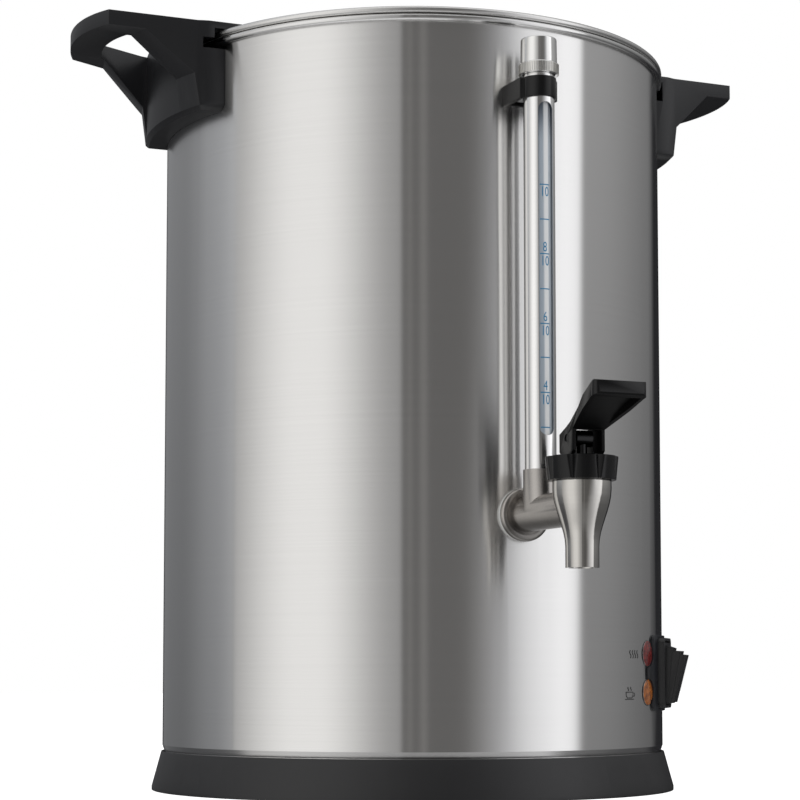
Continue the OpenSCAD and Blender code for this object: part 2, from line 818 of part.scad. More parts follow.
module tap_inner_gasket() {
    color([0.9, 0.9, 0.88]) tap_frame() intersection() {
        translate([0, 0, tap_z]) lying()
            ring_between(shell_in_r - wall_flange_t - gasket_t, shell_in_r);
        translate([0, 0, tap_z - 2*over])
            cylinder(r = shell_in_r - weld_gap, h = 4*over, $fn = skin_fn);
    }
}

module tap_lock_nut() {
    start = shell_in_r - wall_flange_t - gasket_t - weld_gap - lock_nut_t;
    color([0.75, 0.74, 0.72]) tap_frame() translate([start, 0, tap_z]) lying() difference() {
        rotate([0, 0, quarter/3]) cylinder(r = lock_nut_r, h = lock_nut_t, $fn = 6);
        translate([0, 0, -over]) cylinder(r = shank_r + run_gap, h = 2*over);
    }
}

module tap_shank() {
    flange_start = shell_r + gasket_t + weld_gap;
    color([0.75, 0.73, 0.7]) tap_frame() difference() {
        union() {
            translate([shell_in_r - shank_inside, 0, tap_z]) lying()
                cylinder(r = shank_r, h = spout_x - shell_in_r + shank_inside);
            translate([flange_start, 0, tap_z]) lying()
                cylinder(r = wall_flange_r, h = wall_flange_t);
            translate([gauge_x, 0, tap_z]) cylinder(r = shank_r, h = stub_top - tap_z);
        }
        translate([shell_in_r - shank_inside - over, 0, tap_z]) lying()
            cylinder(r = shank_bore_r, h = spout_x - shell_in_r + shank_inside + 2*over);
        translate([gauge_x, 0, tap_z]) cylinder(r = stub_bore_r, h = stub_top);
        translate([gauge_x, 0, glass_seat_z]) cylinder(r = glass_r + weld_gap, h = over);
        translate([gauge_x, 0, stub_top - stub_socket]) cylinder(r = guard_r + weld_gap, h = over);
        translate([spout_x, 0, outlet_z]) cylinder(r = cup_r - cup_straight/2, h = 4*over);
    }
}

module tap_body() {
    low = [spout_r, outlet_z + spout_straight];
    high = [cup_r, cup_top - cup_straight];
    flare = [for (i = [0:goblet_steps]) let (t = i/goblet_steps)
        [low[0] + (high[0] - low[0])*t*t*(3 - 2*t), low[1] + (high[1] - low[1])*t]];
    color([0.75, 0.73, 0.7]) tap_frame() difference() {
        translate([spout_x, 0, 0]) rotate_extrude() polygon(concat(
            [[spout_bore_r, outlet_z], [spout_r, outlet_z]], flare, [[cup_r, cup_top], [neck_r, cup_top],
            [neck_r, cup_top + neck_h], [chamber_in_r, cup_top + neck_h],
            [chamber_in_r, seat_high], [spout_bore_r, seat_low]]));
        intersection() {
            translate([spout_x - 2*over, 0, tap_z]) lying() cylinder(r = shank_r + weld_gap, h = 2*over);
            union() {
                translate([spout_x, 0, outlet_z])
                    cylinder(r = cup_r - cup_straight/2 - weld_gap, h = 4*over);
                translate([spout_x - 2*over, 0, tap_z]) lying() cylinder(r = shank_bore_r, h = 2*over);
            }
        }
        difference() {
            translate([spout_x - 2*over, 0, tap_z]) lying() cylinder(r = shank_r + weld_gap, h = 2*over);
            translate([spout_x, 0, outlet_z]) cylinder(r = cup_r - cup_straight/2 - weld_gap, h = 4*over);
        }
    }
}

module tap_bonnet() {
    cavity_top = cup_top + neck_h + seal_t + 2*weld_gap;
    color([0.08, 0.08, 0.08]) tap_frame() translate([spout_x, 0, 0]) difference() {
        rotate_extrude() polygon([
            [neck_r + weld_gap, cup_top + weld_gap], [bonnet_r - bonnet_taper, cup_top + weld_gap],
            [bonnet_r, bonnet_top - bonnet_skirt], [bonnet_r - bonnet_skirt, bonnet_top],
            [stem_r + run_gap, bonnet_top], [stem_r + run_gap, cavity_top],
            [neck_r + weld_gap, cavity_top]]);
        for (i = [0:bonnet_flutes - 1]) rotate([0, 0, (i + 0.5)*4*quarter/bonnet_flutes])
            translate([bonnet_r + flute_out, 0, cup_top - over]) cylinder(r = flute_r, h = 2*over);
    }
}

module bonnet_seal() {
    color([0.85, 0.4, 0.3]) tap_frame() translate([spout_x, 0, cup_top + neck_h + weld_gap])
        ring(neck_r - weld_gap, stem_r + seat_gap, seal_t);
}

// Valve spring: a round wire wound on a steady pitch, one mesh swept along the helix
spring_turns = 4.5;
spring_steps = 14;
wire_r = 0.6;
wire_sides = 6;
spring_coil_r = 5.6;
cup_base_z = seat_low + cup_gap;
cup_total_h = seat_high - seat_low + cup_h;
spring_low = cup_base_z + cup_total_h + seat_gap + wire_r;
spring_high = cup_top + neck_h - wire_r - weld_gap;

function helix(i, count) = let (t = i/count, a = t*spring_turns*4*quarter)
    [spring_coil_r*cos(a), spring_coil_r*sin(a), spring_low + t*(spring_high - spring_low)];

module tap_spring() {
    count = floor(spring_turns*spring_steps);
    points = [for (i = [0:count], j = [0:wire_sides - 1])
        let (a = i*spring_turns*4*quarter/count, b = j*4*quarter/wire_sides, c = helix(i, count))
            [c[0] + wire_r*cos(b)*cos(a), c[1] + wire_r*cos(b)*sin(a), c[2] + wire_r*sin(b)]];
    sides = [for (i = [0:count - 1], j = [0:wire_sides - 1]) let (k = (j + 1) % wire_sides)
        [i*wire_sides + j, i*wire_sides + k, (i + 1)*wire_sides + k, (i + 1)*wire_sides + j]];
    triangles = [for (q = sides) each [[q[0], q[2], q[1]], [q[0], q[3], q[2]]]];
    first = [for (j = [1:wire_sides - 2]) [0, j, j + 1]];
    end = count*wire_sides;
    last = [for (j = [1:wire_sides - 2]) [end, end + j + 1, end + j]];
    color([0.7, 0.7, 0.7]) tap_frame() translate([spout_x, 0, 0])
        polyhedron(points = points, faces = concat(triangles, first, last));
}

module seat_cup() {
    color([0.85, 0.4, 0.3]) tap_frame() translate([spout_x, 0, 0]) rotate_extrude() polygon([
        [stem_r, cup_base_z], [spout_bore_r - cup_gap, cup_base_z],
        [chamber_in_r - 2*cup_gap, seat_high + cup_gap/2],
        [chamber_in_r - 2*cup_gap, cup_base_z + cup_total_h],
        [stem_r, cup_base_z + cup_total_h]]);
}

module tap_stem() {
    color([0.78, 0.78, 0.77]) tap_frame() translate([spout_x, 0, 0]) difference() {
        union() {
            translate([0, 0, cup_base_z]) cylinder(r = stem_r - weld_gap/5, h = pin_z - cup_base_z);
            translate([0, 0, pin_z]) rotate([quarter, 0, 0])
                cylinder(r = head_r, h = 2*head_w, center = true);
        }
        translate([0, 0, pin_z]) rotate([quarter, 0, 0])
            cylinder(r = pin_r + weld_gap/5, h = 2*over, center = true);
    }
}

module lever_pin() {
    color([0.85, 0.85, 0.84]) tap_frame() translate([spout_x, 0, pin_z]) rotate([quarter, 0, 0])
        cylinder(r = pin_r, h = 2*pin_half, center = true);
}

// Lever: the outline of its side, from the cam foot up to the tip of the paddle
foot_z_gap = bonnet_top + seat_gap - pin_z;

// Shares of the lever's reach and of its rise: under the paddle outwards, and over it inwards
lever_under_shares = [[0.4, 0.365], [0.62, 0.54], [0.99, 0.715], [1, 0.75], [0.99, 0.99]];
lever_over_shares = [[0.955, 1], [0.62, 0.75], [0.435, 0.55], [0.115, 0.32]];
lever_tip_r = 3.5;

module lever_side() {
    size = [paddle_reach, lever_rise];
    polygon(concat([[-yoke_x, foot_z_gap + yoke_round], [-yoke_x + yoke_round, foot_z_gap],
        [yoke_x - yoke_round, foot_z_gap], [yoke_x, foot_z_gap + yoke_round], [yoke_x, pin_half/2]],
        [for (p = concat(lever_under_shares, lever_over_shares)) [p[0]*size[0], p[1]*size[1]]],
        [[-yoke_x, yoke_round]]));
}

module lever_plan() {
    tip = lever_tip_r;
    polygon([[-yoke_x, -yoke_w], [yoke_x, -yoke_w], [paddle_reach - tip, -paddle_w],
        [paddle_reach - tip, paddle_w], [yoke_x, yoke_w], [-yoke_x, yoke_w]]);
    translate([0, -paddle_w + tip]) square([paddle_reach, 2*(paddle_w - tip)]);
    for (side = [-1, 1]) translate([paddle_reach - tip, side*(paddle_w - tip)]) circle(r = tip);
}

module tap_lever() {
    slot_w = yoke_in_w - yoke_slot_in;
    color([0.08, 0.08, 0.08]) tap_frame() translate([spout_x, 0, pin_z]) difference() {
        intersection() {
            side_profile(paddle_w + over) lever_side();
            translate([0, 0, -over]) linear_extrude(height = 4*over) lever_plan();
        }
        translate([-over, -yoke_in_w, -over])
            cube([over + yoke_x - yoke_round, 2*yoke_in_w, over + head_r + yoke_roof]);
        translate([0, -slot_w, -over]) cube([over, 2*slot_w, over + pin_r/2]);
        rotate([quarter, 0, 0]) cylinder(r = pin_r + run_gap, h = 4*over, center = true);
    }
}

// Gauge: guard tube with a window, glass with a seal at each end, cap and the clip to the body
cap_r = 10.6;
cap_ring_r = 11.6;
cap_grip = 10;
cap_low = guard_top - cap_grip;
cap_top = cap_low + cap_h;
cap_ring_h = 6;
cap_ring_edge = 0.5;
cap_edge = 2;
cap_vent_r = 1;
knurl_r = 0.55;
upper_seal_t = 2.6;
clip_h = 12;
clip_drop = 2;
clip_high = cap_low - clip_drop;
clip_low = clip_high - clip_h;
clip_w = 12;
clip_wall = 2.5;
clip_root = 4.5;
clip_band = 1;
window_drop = 3;
window_top = clip_low - window_drop;
window_bottom = window_top - window_l;

module gauge_frame() {
    outward(0) translate([gauge_x, 0, 0]) children();
}

module gauge_guard() {
    low = stub_top - stub_socket + weld_gap;
    color([0.76, 0.75, 0.73]) gauge_frame() difference() {
        translate([0, 0, low]) ring(guard_r, guard_r - guard_wall, guard_top - low);
        translate([0, -window_w, window_bottom + window_w])
            cube([2*guard_r, 2*window_w, window_top - window_bottom - 2*window_w]);
        for (z = [window_bottom + window_w, window_top - window_w]) translate([0, 0, z]) lying()
            cylinder(r = window_w, h = 2*guard_r);
    }
}

glass_low = glass_seat_z + weld_gap;
glass_top = guard_top - upper_seal_t - seat_gap;

module gauge_glass() {
    color([0.7, 0.82, 0.88, 0.5]) gauge_frame() translate([0, 0, glass_low])
        ring(glass_r, glass_r - glass_wall, glass_top - glass_low);
}

lower_seal_t = 4;

module gauge_lower_seal() {
    color([0.2, 0.2, 0.2]) gauge_frame() translate([0, 0, stub_top - stub_socket + 2*weld_gap])
        ring(guard_r - guard_wall - weld_gap, glass_r + weld_gap, lower_seal_t);
}

module gauge_upper_seal() {
    color([0.2, 0.2, 0.2]) gauge_frame() translate([0, 0, glass_top + seat_gap])
        ring(guard_r - guard_wall - seat_gap, glass_r - 2*glass_wall, upper_seal_t + seat_gap);
}

module gauge_cap() {
    ceiling = guard_top + 2*seat_gap;
    color([0.86, 0.86, 0.85]) gauge_frame() difference() {
        rotate_extrude() polygon([
            [0, cap_low], [cap_ring_r - cap_ring_edge, cap_low],
            [cap_ring_r, cap_low + cap_ring_edge], [cap_ring_r, cap_low + cap_ring_h - cap_ring_edge],
            [cap_ring_r - cap_ring_edge, cap_low + cap_ring_h],
            [cap_r, cap_low + cap_ring_h + cap_ring_edge], [cap_r, cap_top - cap_edge],
            [cap_r - cap_edge/2, cap_top - cap_edge/4], [cap_r - cap_edge, cap_top], [0, cap_top]]);
        translate([0, 0, cap_low - over]) cylinder(r = guard_r + run_gap, h = ceiling - cap_low + over);
        translate([0, 0, cap_low]) cylinder(r = cap_vent_r, h = 2*over);
        for (i = [0:knurl_teeth - 1]) rotate([0, 0, i*4*quarter/knurl_teeth])
            translate([cap_ring_r + knurl_r/4, 0, cap_low - over])
                cylinder(r = knurl_r, h = over + cap_ring_h, $fn = 16);
    }
}

module gauge_clip() {
    slot_l = gauge_x - guard_r - guard_wall - shell_r - clip_root;
    color([0.06, 0.06, 0.06]) outward(0) difference() {
        union() {
            translate([0, -clip_w, clip_low]) cube([gauge_x, 2*clip_w, clip_h]);
            translate([gauge_x, 0, clip_low]) cylinder(r = guard_r + clip_band, h = clip_h);
        }
        translate([0, 0, clip_low - over]) cylinder(r = shell_r + weld_gap, h = 3*over);
        translate([gauge_x, 0, clip_low - over]) cylinder(r = guard_r + weld_gap, h = 3*over);
        translate([shell_r + clip_root, -clip_w + clip_wall, clip_low - over])
            cube([slot_l, 2*(clip_w - clip_wall), over + clip_h/2]);
    }
}

// Controls: panel, two lamps in bright bezels, and the switch with its stepped rocker
lamp_barrel_r = 6.85;
lamp_depth = 26;
lamp_proud = 0.9;
lamp_edge = 0.3;
bezel_t = 1.2;
bezel_sunk = 2.2;
panel_left = 24.7;
panel_right = 21;
panel_h = 23.2;
panel_corner = 4;
panel_t = 1.6;
housing_h = 19.9;
housing_w = 13.5;
housing_corner = 3;
housing_wall = 1.5;
housing_depth = 26;
flange_w = 16;
flange_corner = 4;
rocker_pivot = 3;
rocker_w = 11;
rocker_r = 19.3;
rocker_gap = 0.4;
rocker_axle_r = 1.5;

module lamp_place(side) {
    outward(lamp_angle) translate([shell_r, 0, control_z + side*lamp_pitch/2]) lying() children();
}

// What lies outside the shell's skin, for the pieces that sit on its curve
module outside_shell() {
    difference() {
        children();
        translate([0, 0, control_z - 3*over])
            cylinder(r = shell_r + weld_gap, h = 6*over, $fn = skin_fn);
    }
}

module control_panel() {
    lamp_reach = shell_r*sin(switch_angle - lamp_angle);
    color([0.07, 0.07, 0.07]) difference() {
        outside_shell() intersection() {
            translate([0, 0, control_z - 2*over])
                cylinder(r = shell_r + panel_t, h = 4*over, $fn = skin_fn);
            outward(switch_angle) translate([shell_r - over, 0, control_z]) lying()
                linear_extrude(height = 3*over) {
                    translate([0, (panel_right - panel_left)/2])
                        round_rect(panel_h, (panel_left + panel_right)/2, panel_corner);
                    translate([-lamp_pitch/2, -lamp_reach])
                        square([lamp_pitch, lamp_reach - panel_left + panel_corner]);
                }
        }
        outward(switch_angle) translate([shell_r - over, 0, control_z]) lying()
            linear_extrude(height = 3*over)
                round_rect(flange_h + weld_gap, flange_w + weld_gap, flange_corner);
        for (side = [-1, 1]) lamp_place(side)
            cylinder(r = bezel_r + weld_gap, h = 2*over, center = true);
    }
}

lens_share = 0.72;

module lamp_lens(side) {
    lamp_place(side) {
        translate([0, 0, -lamp_depth]) cylinder(r = lamp_barrel_r, h = lamp_depth + lamp_edge);
        translate([0, 0, lamp_edge])
            cylinder(r1 = lamp_barrel_r, r2 = lamp_barrel_r*lens_share, h = lamp_proud - lamp_edge);
    }
}

module lamp_red() {
    color([0.7, 0.08, 0.07]) lamp_lens(1);
}

module lamp_amber() {
    color([0.95, 0.5, 0.08]) lamp_lens(-1);
}

module lamp_bezels() {
    color([0.85, 0.85, 0.84]) outside_shell() for (side = [-1, 1]) lamp_place(side)
        translate([0, 0, -bezel_sunk]) difference() {
            union() {
                cylinder(r = bezel_r, h = bezel_sunk + bezel_t/2);
                translate([0, 0, bezel_sunk + bezel_t/2])
                    cylinder(r1 = bezel_r, r2 = bezel_r - bezel_t/2, h = bezel_t/2);
            }
            translate([0, 0, -over]) cylinder(r = lamp_barrel_r + weld_gap, h = 2*over);
        }
}

module switch_frame() {
    outward(switch_angle) translate([shell_r, 0, control_z]) children();
}

module switch_housing() {
    color([0.06, 0.06, 0.06]) switch_frame() difference() {
        union() {
            lying() linear_extrude(height = flange_proud) round_rect(flange_h, flange_w, flange_corner);
            translate([-housing_depth, 0, 0]) lying()
                linear_extrude(height = housing_depth + flange_proud/2)
                    round_rect(housing_h, housing_w, housing_corner);
        }
        translate([-housing_depth + housing_wall, 0, 0]) lying()
            linear_extrude(height = housing_depth + over)
                square([2*(rocker_r + rocker_gap), 2*(rocker_w + rocker_gap)], center = true);
        translate([rocker_pivot, 0, 0]) rotate([quarter, 0, 0])
            cylinder(r = rocker_axle_r + run_gap, h = 2*(rocker_w + rocker_axle_r), center = true);
    }
}

// Rocker: a drum round the pivot below, with three stepped tiers that lean out at the top
rocker_tilt = 14.2;
rocker_tier_step = 0.8;
// Shares of the drum's radius: each tier's foot, the top of its face and the back of its tread
rocker_tier_shares = [
    [[0.08, -0.99], [0.1, 0.96], [0, 0.975]],
    [[0.13, -0.99], [0.321, 0.798], [0.119, 0.865]],
    [[0.25, -0.965], [0.565, 0.7], [0.383, 0.71]],
    [[0.34, -0.933], [0.725, 0.575], [0.606, 0.59]]];
rocker_back_shares = [[-0.155, 0.6], [-0.26, 0], [0, -0.9]];

module switch_rocker() {
    color([0.1, 0.1, 0.1]) switch_frame() translate([rocker_pivot, 0, 0]) {
        side_profile(rocker_w) difference() {
            circle(r = rocker_r);
            polygon([[0, -2*rocker_r], [2*rocker_r, -2*rocker_r], [2*rocker_r, 2*rocker_r],
                [-rocker_r*sin(rocker_tilt), 2*rocker_r], [0, 0]]);
        }
        for (i = [0:len(rocker_tier_shares) - 1]) side_profile(rocker_w - i*rocker_tier_step)
            polygon([for (p = concat(rocker_tier_shares[i], rocker_back_shares)) p*rocker_r]);
        rotate([quarter, 0, 0])
            cylinder(r = rocker_axle_r, h = 2*(rocker_w + rocker_axle_r) - run_gap, center = true);
    }
}

body_shell();
tank_floor();
boiling_element();
keep_warm_element();
thermostat();
thermal_cutout();
terminal_block();
base_ring();
bottom_plate();
plate_screws();
cord_gland();
gland_nut();
handle_left();
handle_right();
handle_screws();
lid();
lid_knob();
knob_screw();
pump_tube();
pump_foot();
pump_valve();
coffee_basket();
basket_cover();
tap_gasket();
tap_inner_gasket();
tap_shank();
tap_lock_nut();
tap_body();
tap_bonnet();
bonnet_seal();
tap_spring();
tap_stem();
seat_cup();
lever_pin();
tap_lever();
gauge_guard();
gauge_glass();
gauge_lower_seal();
gauge_upper_seal();
gauge_cap();
gauge_clip();
control_panel();
lamp_red();
lamp_amber();
lamp_bezels();
switch_housing();
switch_rocker();
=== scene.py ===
# Coffee urn in a plain studio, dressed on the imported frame. Metres, +Z up, the tap towards -Y.
import bpy
import bmesh
import json
import math
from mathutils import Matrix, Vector


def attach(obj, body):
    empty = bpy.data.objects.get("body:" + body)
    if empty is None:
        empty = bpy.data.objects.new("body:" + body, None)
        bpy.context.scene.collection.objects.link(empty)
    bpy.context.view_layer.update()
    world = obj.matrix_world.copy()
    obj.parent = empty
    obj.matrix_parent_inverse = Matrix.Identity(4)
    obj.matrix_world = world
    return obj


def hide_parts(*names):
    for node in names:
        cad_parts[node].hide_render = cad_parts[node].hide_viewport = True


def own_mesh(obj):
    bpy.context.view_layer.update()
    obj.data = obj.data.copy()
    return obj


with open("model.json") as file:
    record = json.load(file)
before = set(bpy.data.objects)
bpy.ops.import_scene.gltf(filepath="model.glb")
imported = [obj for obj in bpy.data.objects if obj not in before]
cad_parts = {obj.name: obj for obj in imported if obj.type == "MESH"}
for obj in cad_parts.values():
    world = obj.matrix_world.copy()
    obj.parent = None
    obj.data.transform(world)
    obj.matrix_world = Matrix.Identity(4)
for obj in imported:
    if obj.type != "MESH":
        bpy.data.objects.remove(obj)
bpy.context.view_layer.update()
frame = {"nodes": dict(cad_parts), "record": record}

shot = {
    "azimuth": -23.65,     # degrees round the axis from the tap, towards the -X handle
    "distance": 1.3941,
    "height": 0.0732,
    "lens": 98.17,
    "pitch": 4.445,
    "yaw": 0.324,
    "shiftY": 0.128,
    "sensor": 36.0,
    "near": 0.05,
}


def onRing(radius, degrees, z=0.0):
    # a point round the axis, counted from the tap's side towards +X
    a = math.radians(degrees)
    return Vector((radius * math.sin(a), -radius * math.cos(a), z))


class Signal:
    # one output socket, with the sums that the materials write on it
    def __init__(self, maker, socket):
        self.maker, self.socket = maker, socket

    def join(self, kind, other, flipped=False):
        pair = (other, self) if flipped else (self, other)
        return self.maker.node("ShaderNodeMath", {"operation": kind}, {0: pair[0], 1: pair[1]})

    def __add__(self, other):
        return self.join("ADD", other)

    def __radd__(self, other):
        return self.join("ADD", other, True)

    def __sub__(self, other):
        return self.join("SUBTRACT", other)

    def __rsub__(self, other):
        return self.join("SUBTRACT", other, True)

    def __mul__(self, other):
        return self.join("MULTIPLY", other)

    def __rmul__(self, other):
        return self.join("MULTIPLY", other, True)

    def clipped(self):
        return self.maker.node("ShaderNodeClamp", {}, {0: self})

    def power(self, exponent):
        return self.join("POWER", exponent)

    def size(self):
        return self.maker.node("ShaderNodeMath", {"operation": "ABSOLUTE"}, {0: self})

    def between(self, low, high):
        # 0 below low and 1 above high, eased
        return self.maker.node("ShaderNodeMapRange", {"interpolation_type": "SMOOTHSTEP"},
                               {"Value": self, "From Min": low, "From Max": high})


class Maker:
    # builds one node tree
    def __init__(self, tree):
        self.tree = tree
        tree.nodes.clear()

    def feed(self, socket, value):
        if isinstance(value, Signal):
            self.tree.links.new(value.socket, socket)
        elif isinstance(value, (tuple, list)) and len(value) == 3 and socket.type == "RGBA":
            socket.default_value = (*value, 1.0)
        else:
            socket.default_value = value

    def node(self, kind, settings=None, inputs=None, output=0):
        made = self.tree.nodes.new(kind)
        for key, value in (settings or {}).items():
            if key == "stops":
                ramp = made.color_ramp
                while len(ramp.elements) > 1:
                    ramp.elements.remove(ramp.elements[-1])
                for k, (place, colour) in enumerate(value):
                    stop = ramp.elements[0] if k == 0 else ramp.elements.new(place)
                    stop.position = place
                    stop.color = (*colour, 1)
            else:
                setattr(made, key, value)
        for key, value in (inputs or {}).items():
            self.feed(made.inputs[key], value)
        return Signal(self, made.outputs[output])

    def mixColour(self, factor, first, second, how="MIX"):
        return self.node("ShaderNodeMix", {"data_type": "RGBA", "blend_type": how},
                         {0: factor, 6: first, 7: second}, 2)

    def place(self, scale):
        # the piece's own metres, scaled
        spot = self.node("ShaderNodeTexCoord", output=3)
        return self.node("ShaderNodeMapping", {}, {"Vector": spot, "Scale": scale})

    def noise(self, where, detail=2.0, roughness=0.5, distortion=0.0):
        return self.node("ShaderNodeTexNoise", {}, {
            "Vector": where, "Scale": 1.0, "Detail": detail, "Roughness": roughness, "Distortion": distortion})

    def ramp(self, value, stops):
        return self.node("ShaderNodeValToRGB", {"stops": stops}, {0: value})

    def spot(self):
        # x, y and z of the piece's own metres
        where = self.node("ShaderNodeTexCoord", output=3)
        return [self.node("ShaderNodeSeparateXYZ", {}, {0: where}, k) for k in range(3)]

    def bump(self, height, strength, distance):
        return self.node("ShaderNodeBump", {}, {"Height": height, "Strength": strength, "Distance": distance})


def startMaterial(name):
    made = bpy.data.materials.new(name)
    made.use_nodes = True
    return made, Maker(made.node_tree)


def finishMaterial(maker, sockets):
    shader = maker.node("ShaderNodeBsdfPrincipled", {}, sockets)
    out = maker.tree.nodes.new("ShaderNodeOutputMaterial")
    maker.tree.links.new(shader.socket, out.inputs["Surface"])


def shaded(colour, share):
    # the same colour, lighter or darker by share, never above white
    return tuple(min(1, c * share) for c in colour)


finishes = {}


def brushedSteel(name, look):
    # fine lines brushed round the piece, so light stretches up and down
    made, m = startMaterial(name)
    fine = m.noise(m.place((6, 6, look["lines"])), 3.0, 0.65)
    broad = m.noise(m.place((2.2, 2.2, look["lines"] / 5)), 2.0, 0.5)
    cloud = m.noise(m.place((9, 9, 5)), 2.0, 0.5)
    streak = fine * 0.84 + broad * 0.16
    tone = m.mixColour(streak.between(0.3, 0.7), shaded(look["colour"], 0.98),
                       shaded(look["colour"], 1.018))
    finishMaterial(m, {
        "Base Color": tone,
        "Metallic": 1.0,
        "Roughness": look["roughness"] - 0.03 + streak * 0.04 + cloud * 0.02,
        "Anisotropic": look["stretch"],
        "Anisotropic Rotation": 0.25,
        "Normal": m.bump(streak, 0.065, 0.00003),
    })
    return made


finishes["brushed_shell"] = brushedSteel("brushedShell", {
    "colour": (0.73, 0.726, 0.72), "roughness": 0.185, "stretch": 1.0, "lines": 3600.0})
gobletSteel = brushedSteel("gobletSteel", {
    "colour": (0.57, 0.555, 0.53), "roughness": 0.105, "stretch": 0.9, "lines": 5200.0})
finishes["guard_steel"] = brushedSteel("guardSteel", {
    "colour": (0.86, 0.857, 0.855), "roughness": 0.17, "stretch": 0.7, "lines": 5200.0})


def spunSteel(name, colour, roughness, rings):
    # faint rings from spinning about the axis
    made, m = startMaterial(name)
    x, y, z = m.spot()
    reach = (x * x + y * y).power(0.5)
    where = m.node("ShaderNodeCombineXYZ", {}, {0: reach * rings, 1: x * 3, 2: y * 3})
    ring = m.noise(where, 2.0, 0.6)
    tone = m.mixColour(ring, shaded(colour, 0.95), shaded(colour, 1.03))
    finishMaterial(m, {"Base Color": tone, "Metallic": 1.0, "Roughness": roughness - 0.03 + ring * 0.06,
                       "Normal": m.bump(ring, 0.06, 0.000003)})
    return made


def sheetSteel(name, colour, roughness, grain):
    # rolled or drawn steel with a fine even grain along Z
    made, m = startMaterial(name)
    fine = m.noise(m.place((grain, grain, grain / 24)), 3.0, 0.6)
    cloud = m.noise(m.place((30, 30, 30)), 2.0, 0.5)
    tone = m.mixColour(fine * 0.6 + cloud * 0.4, shaded(colour, 0.93), shaded(colour, 1.04))
    finishMaterial(m, {"Base Color": tone, "Metallic": 1.0,
                       "Roughness": roughness - 0.04 + fine * 0.06 + cloud * 0.03,
                       "Normal": m.bump(fine, 0.15, 0.00003)})
    return made


def satinSteel(name, colour, roughness, paintedUnderShade=None):
    # bead-blasted: a very fine even sparkle, and where given, painted shade that darkens the colour towards the
    # underside
    made, m = startMaterial(name)
    fine = m.noise(m.place((2600, 2600, 2600)), 2.0, 0.6)
    cloud = m.noise(m.place((90, 90, 90)), 2.0, 0.5)
    tone = m.mixColour(cloud, shaded(colour, 0.94), shaded(colour, 1.03))
    if paintedUnderShade:
        # painted shade: below the given height the colour is darkened
        under = (paintedUnderShade["below"] - m.spot()[2]).between(*paintedUnderShade["fade"])
        tone = m.mixColour(under * paintedUnderShade["share"], tone, shaded(colour, paintedUnderShade["dark"]))
    finishMaterial(m, {"Base Color": tone, "Metallic": 1.0,
                       "Roughness": roughness - 0.04 + fine * 0.06 + cloud * 0.02,
                       "Normal": m.bump(fine, 0.12, 0.00003)})
    return made


finishes["lid_steel"] = spunSteel("lidSteel", (0.74, 0.735, 0.725), 0.27, 1400.0)
finishes["tank_steel"] = sheetSteel("tankSteel", (0.70, 0.70, 0.69), 0.30, 900.0)
finishes["satin_steel"] = satinSteel("satinSteel", (0.54, 0.52, 0.49), 0.25)
# the shank's underside is darkened by painted shade
shankSteel = satinSteel("shankSteel", (0.44, 0.42, 0.40), 0.28, {
    "below": 0.162, "fade": (-0.001, 0.009), "share": 0.62, "dark": 0.25})
stemSteel = satinSteel("stemSteel", (0.035, 0.035, 0.036), 0.30)
weldSteel = satinSteel("weldSteel", (0.46, 0.44, 0.41), 0.40)
knurlSteel = satinSteel("knurlSteel", (0.74, 0.73, 0.70), 0.34)
finishes["polished_cap"] = satinSteel("polishedCap", (0.82, 0.82, 0.81), 0.10)
finishes["screw_steel"] = sheetSteel("screwSteel", (0.68, 0.68, 0.66), 0.24, 1500.0)


def heatedSheath(name):
    # element sheath with straw and blue heat tints
    made, m = startMaterial(name)
    cloud = m.noise(m.place((26, 26, 26)), 3.0, 0.55)
    fine = m.noise(m.place((900, 900, 900)), 2.0, 0.5)
    tint = m.ramp(cloud, [
        (0.3, (0.40, 0.37, 0.33)),
        (0.5, (0.46, 0.37, 0.25)),
        (0.62, (0.34, 0.28, 0.30)),
        (0.75, (0.30, 0.31, 0.36)),
    ])
    finishMaterial(m, {"Base Color": tint, "Metallic": 1.0, "Roughness": 0.34 + fine * 0.1,
                       "Normal": m.bump(fine, 0.2, 0.00004)})
    return made


finishes["element_sheath"] = heatedSheath("elementSheath")


def mouldedPlastic(name, colour, roughness, grain, depth, sheen=0.0):
    # moulded resin: grain in the tool, faint flow marks, slight wear of the gloss
    made, m = startMaterial(name)
    fine = m.noise(m.place((grain, grain, grain)), 3.0, 0.55)
    flow = m.noise(m.place((14, 14, 22)), 3.0, 0.5, 0.6)
    tone = m.mixColour(flow, shaded(colour, 0.88), shaded(colour, 1.14))
    finishMaterial(m, {"Base Color": tone, "Roughness": roughness - 0.05 + fine * 0.07 + flow * 0.05,
                       "Normal": m.bump(fine, 0.25, depth), "Specular IOR Level": 0.5 + sheen})
    return made


finishes["black_base"] = mouldedPlastic("blackBase", (0.0165, 0.0165, 0.018), 0.42, 1500.0, 0.00005)
finishes["black_handle"] = mouldedPlastic("blackHandle", (0.0115, 0.0118, 0.0135), 0.36, 1700.0, 0.00004, -0.08)
finishes["black_tap"] = mouldedPlastic("blackTap", (0.0058, 0.0058, 0.0062), 0.20, 900.0, 0.00001, -0.2)
# a darker copy of the tap's plastic, used as painted shade under and inside the lever
hollowShadePlastic = mouldedPlastic("blackHollowShade", (0.0028, 0.0028, 0.0030), 0.46, 900.0, 0.00002, -0.36)
finishes["black_gland"] = mouldedPlastic("blackGland", (0.014, 0.014, 0.015), 0.46, 1500.0, 0.00004)
finishes["black_panel"] = mouldedPlastic("blackPanel", (0.0125, 0.0135, 0.017), 0.30, 1200.0, 0.00002)
finishes["black_switch"] = mouldedPlastic("blackSwitch", (0.017, 0.017, 0.018), 0.34, 1700.0, 0.00004)
finishes["black_rubber"] = mouldedPlastic("blackRubber", (0.018, 0.018, 0.018), 0.58, 1300.0, 0.00005)
finishes["silicone_white"] = mouldedPlastic("siliconeWhite", (0.78, 0.78, 0.76), 0.44, 900.0, 0.00002)
finishes["silicone_red"] = mouldedPlastic("siliconeRed", (0.62, 0.14, 0.09), 0.44, 900.0, 0.00002)
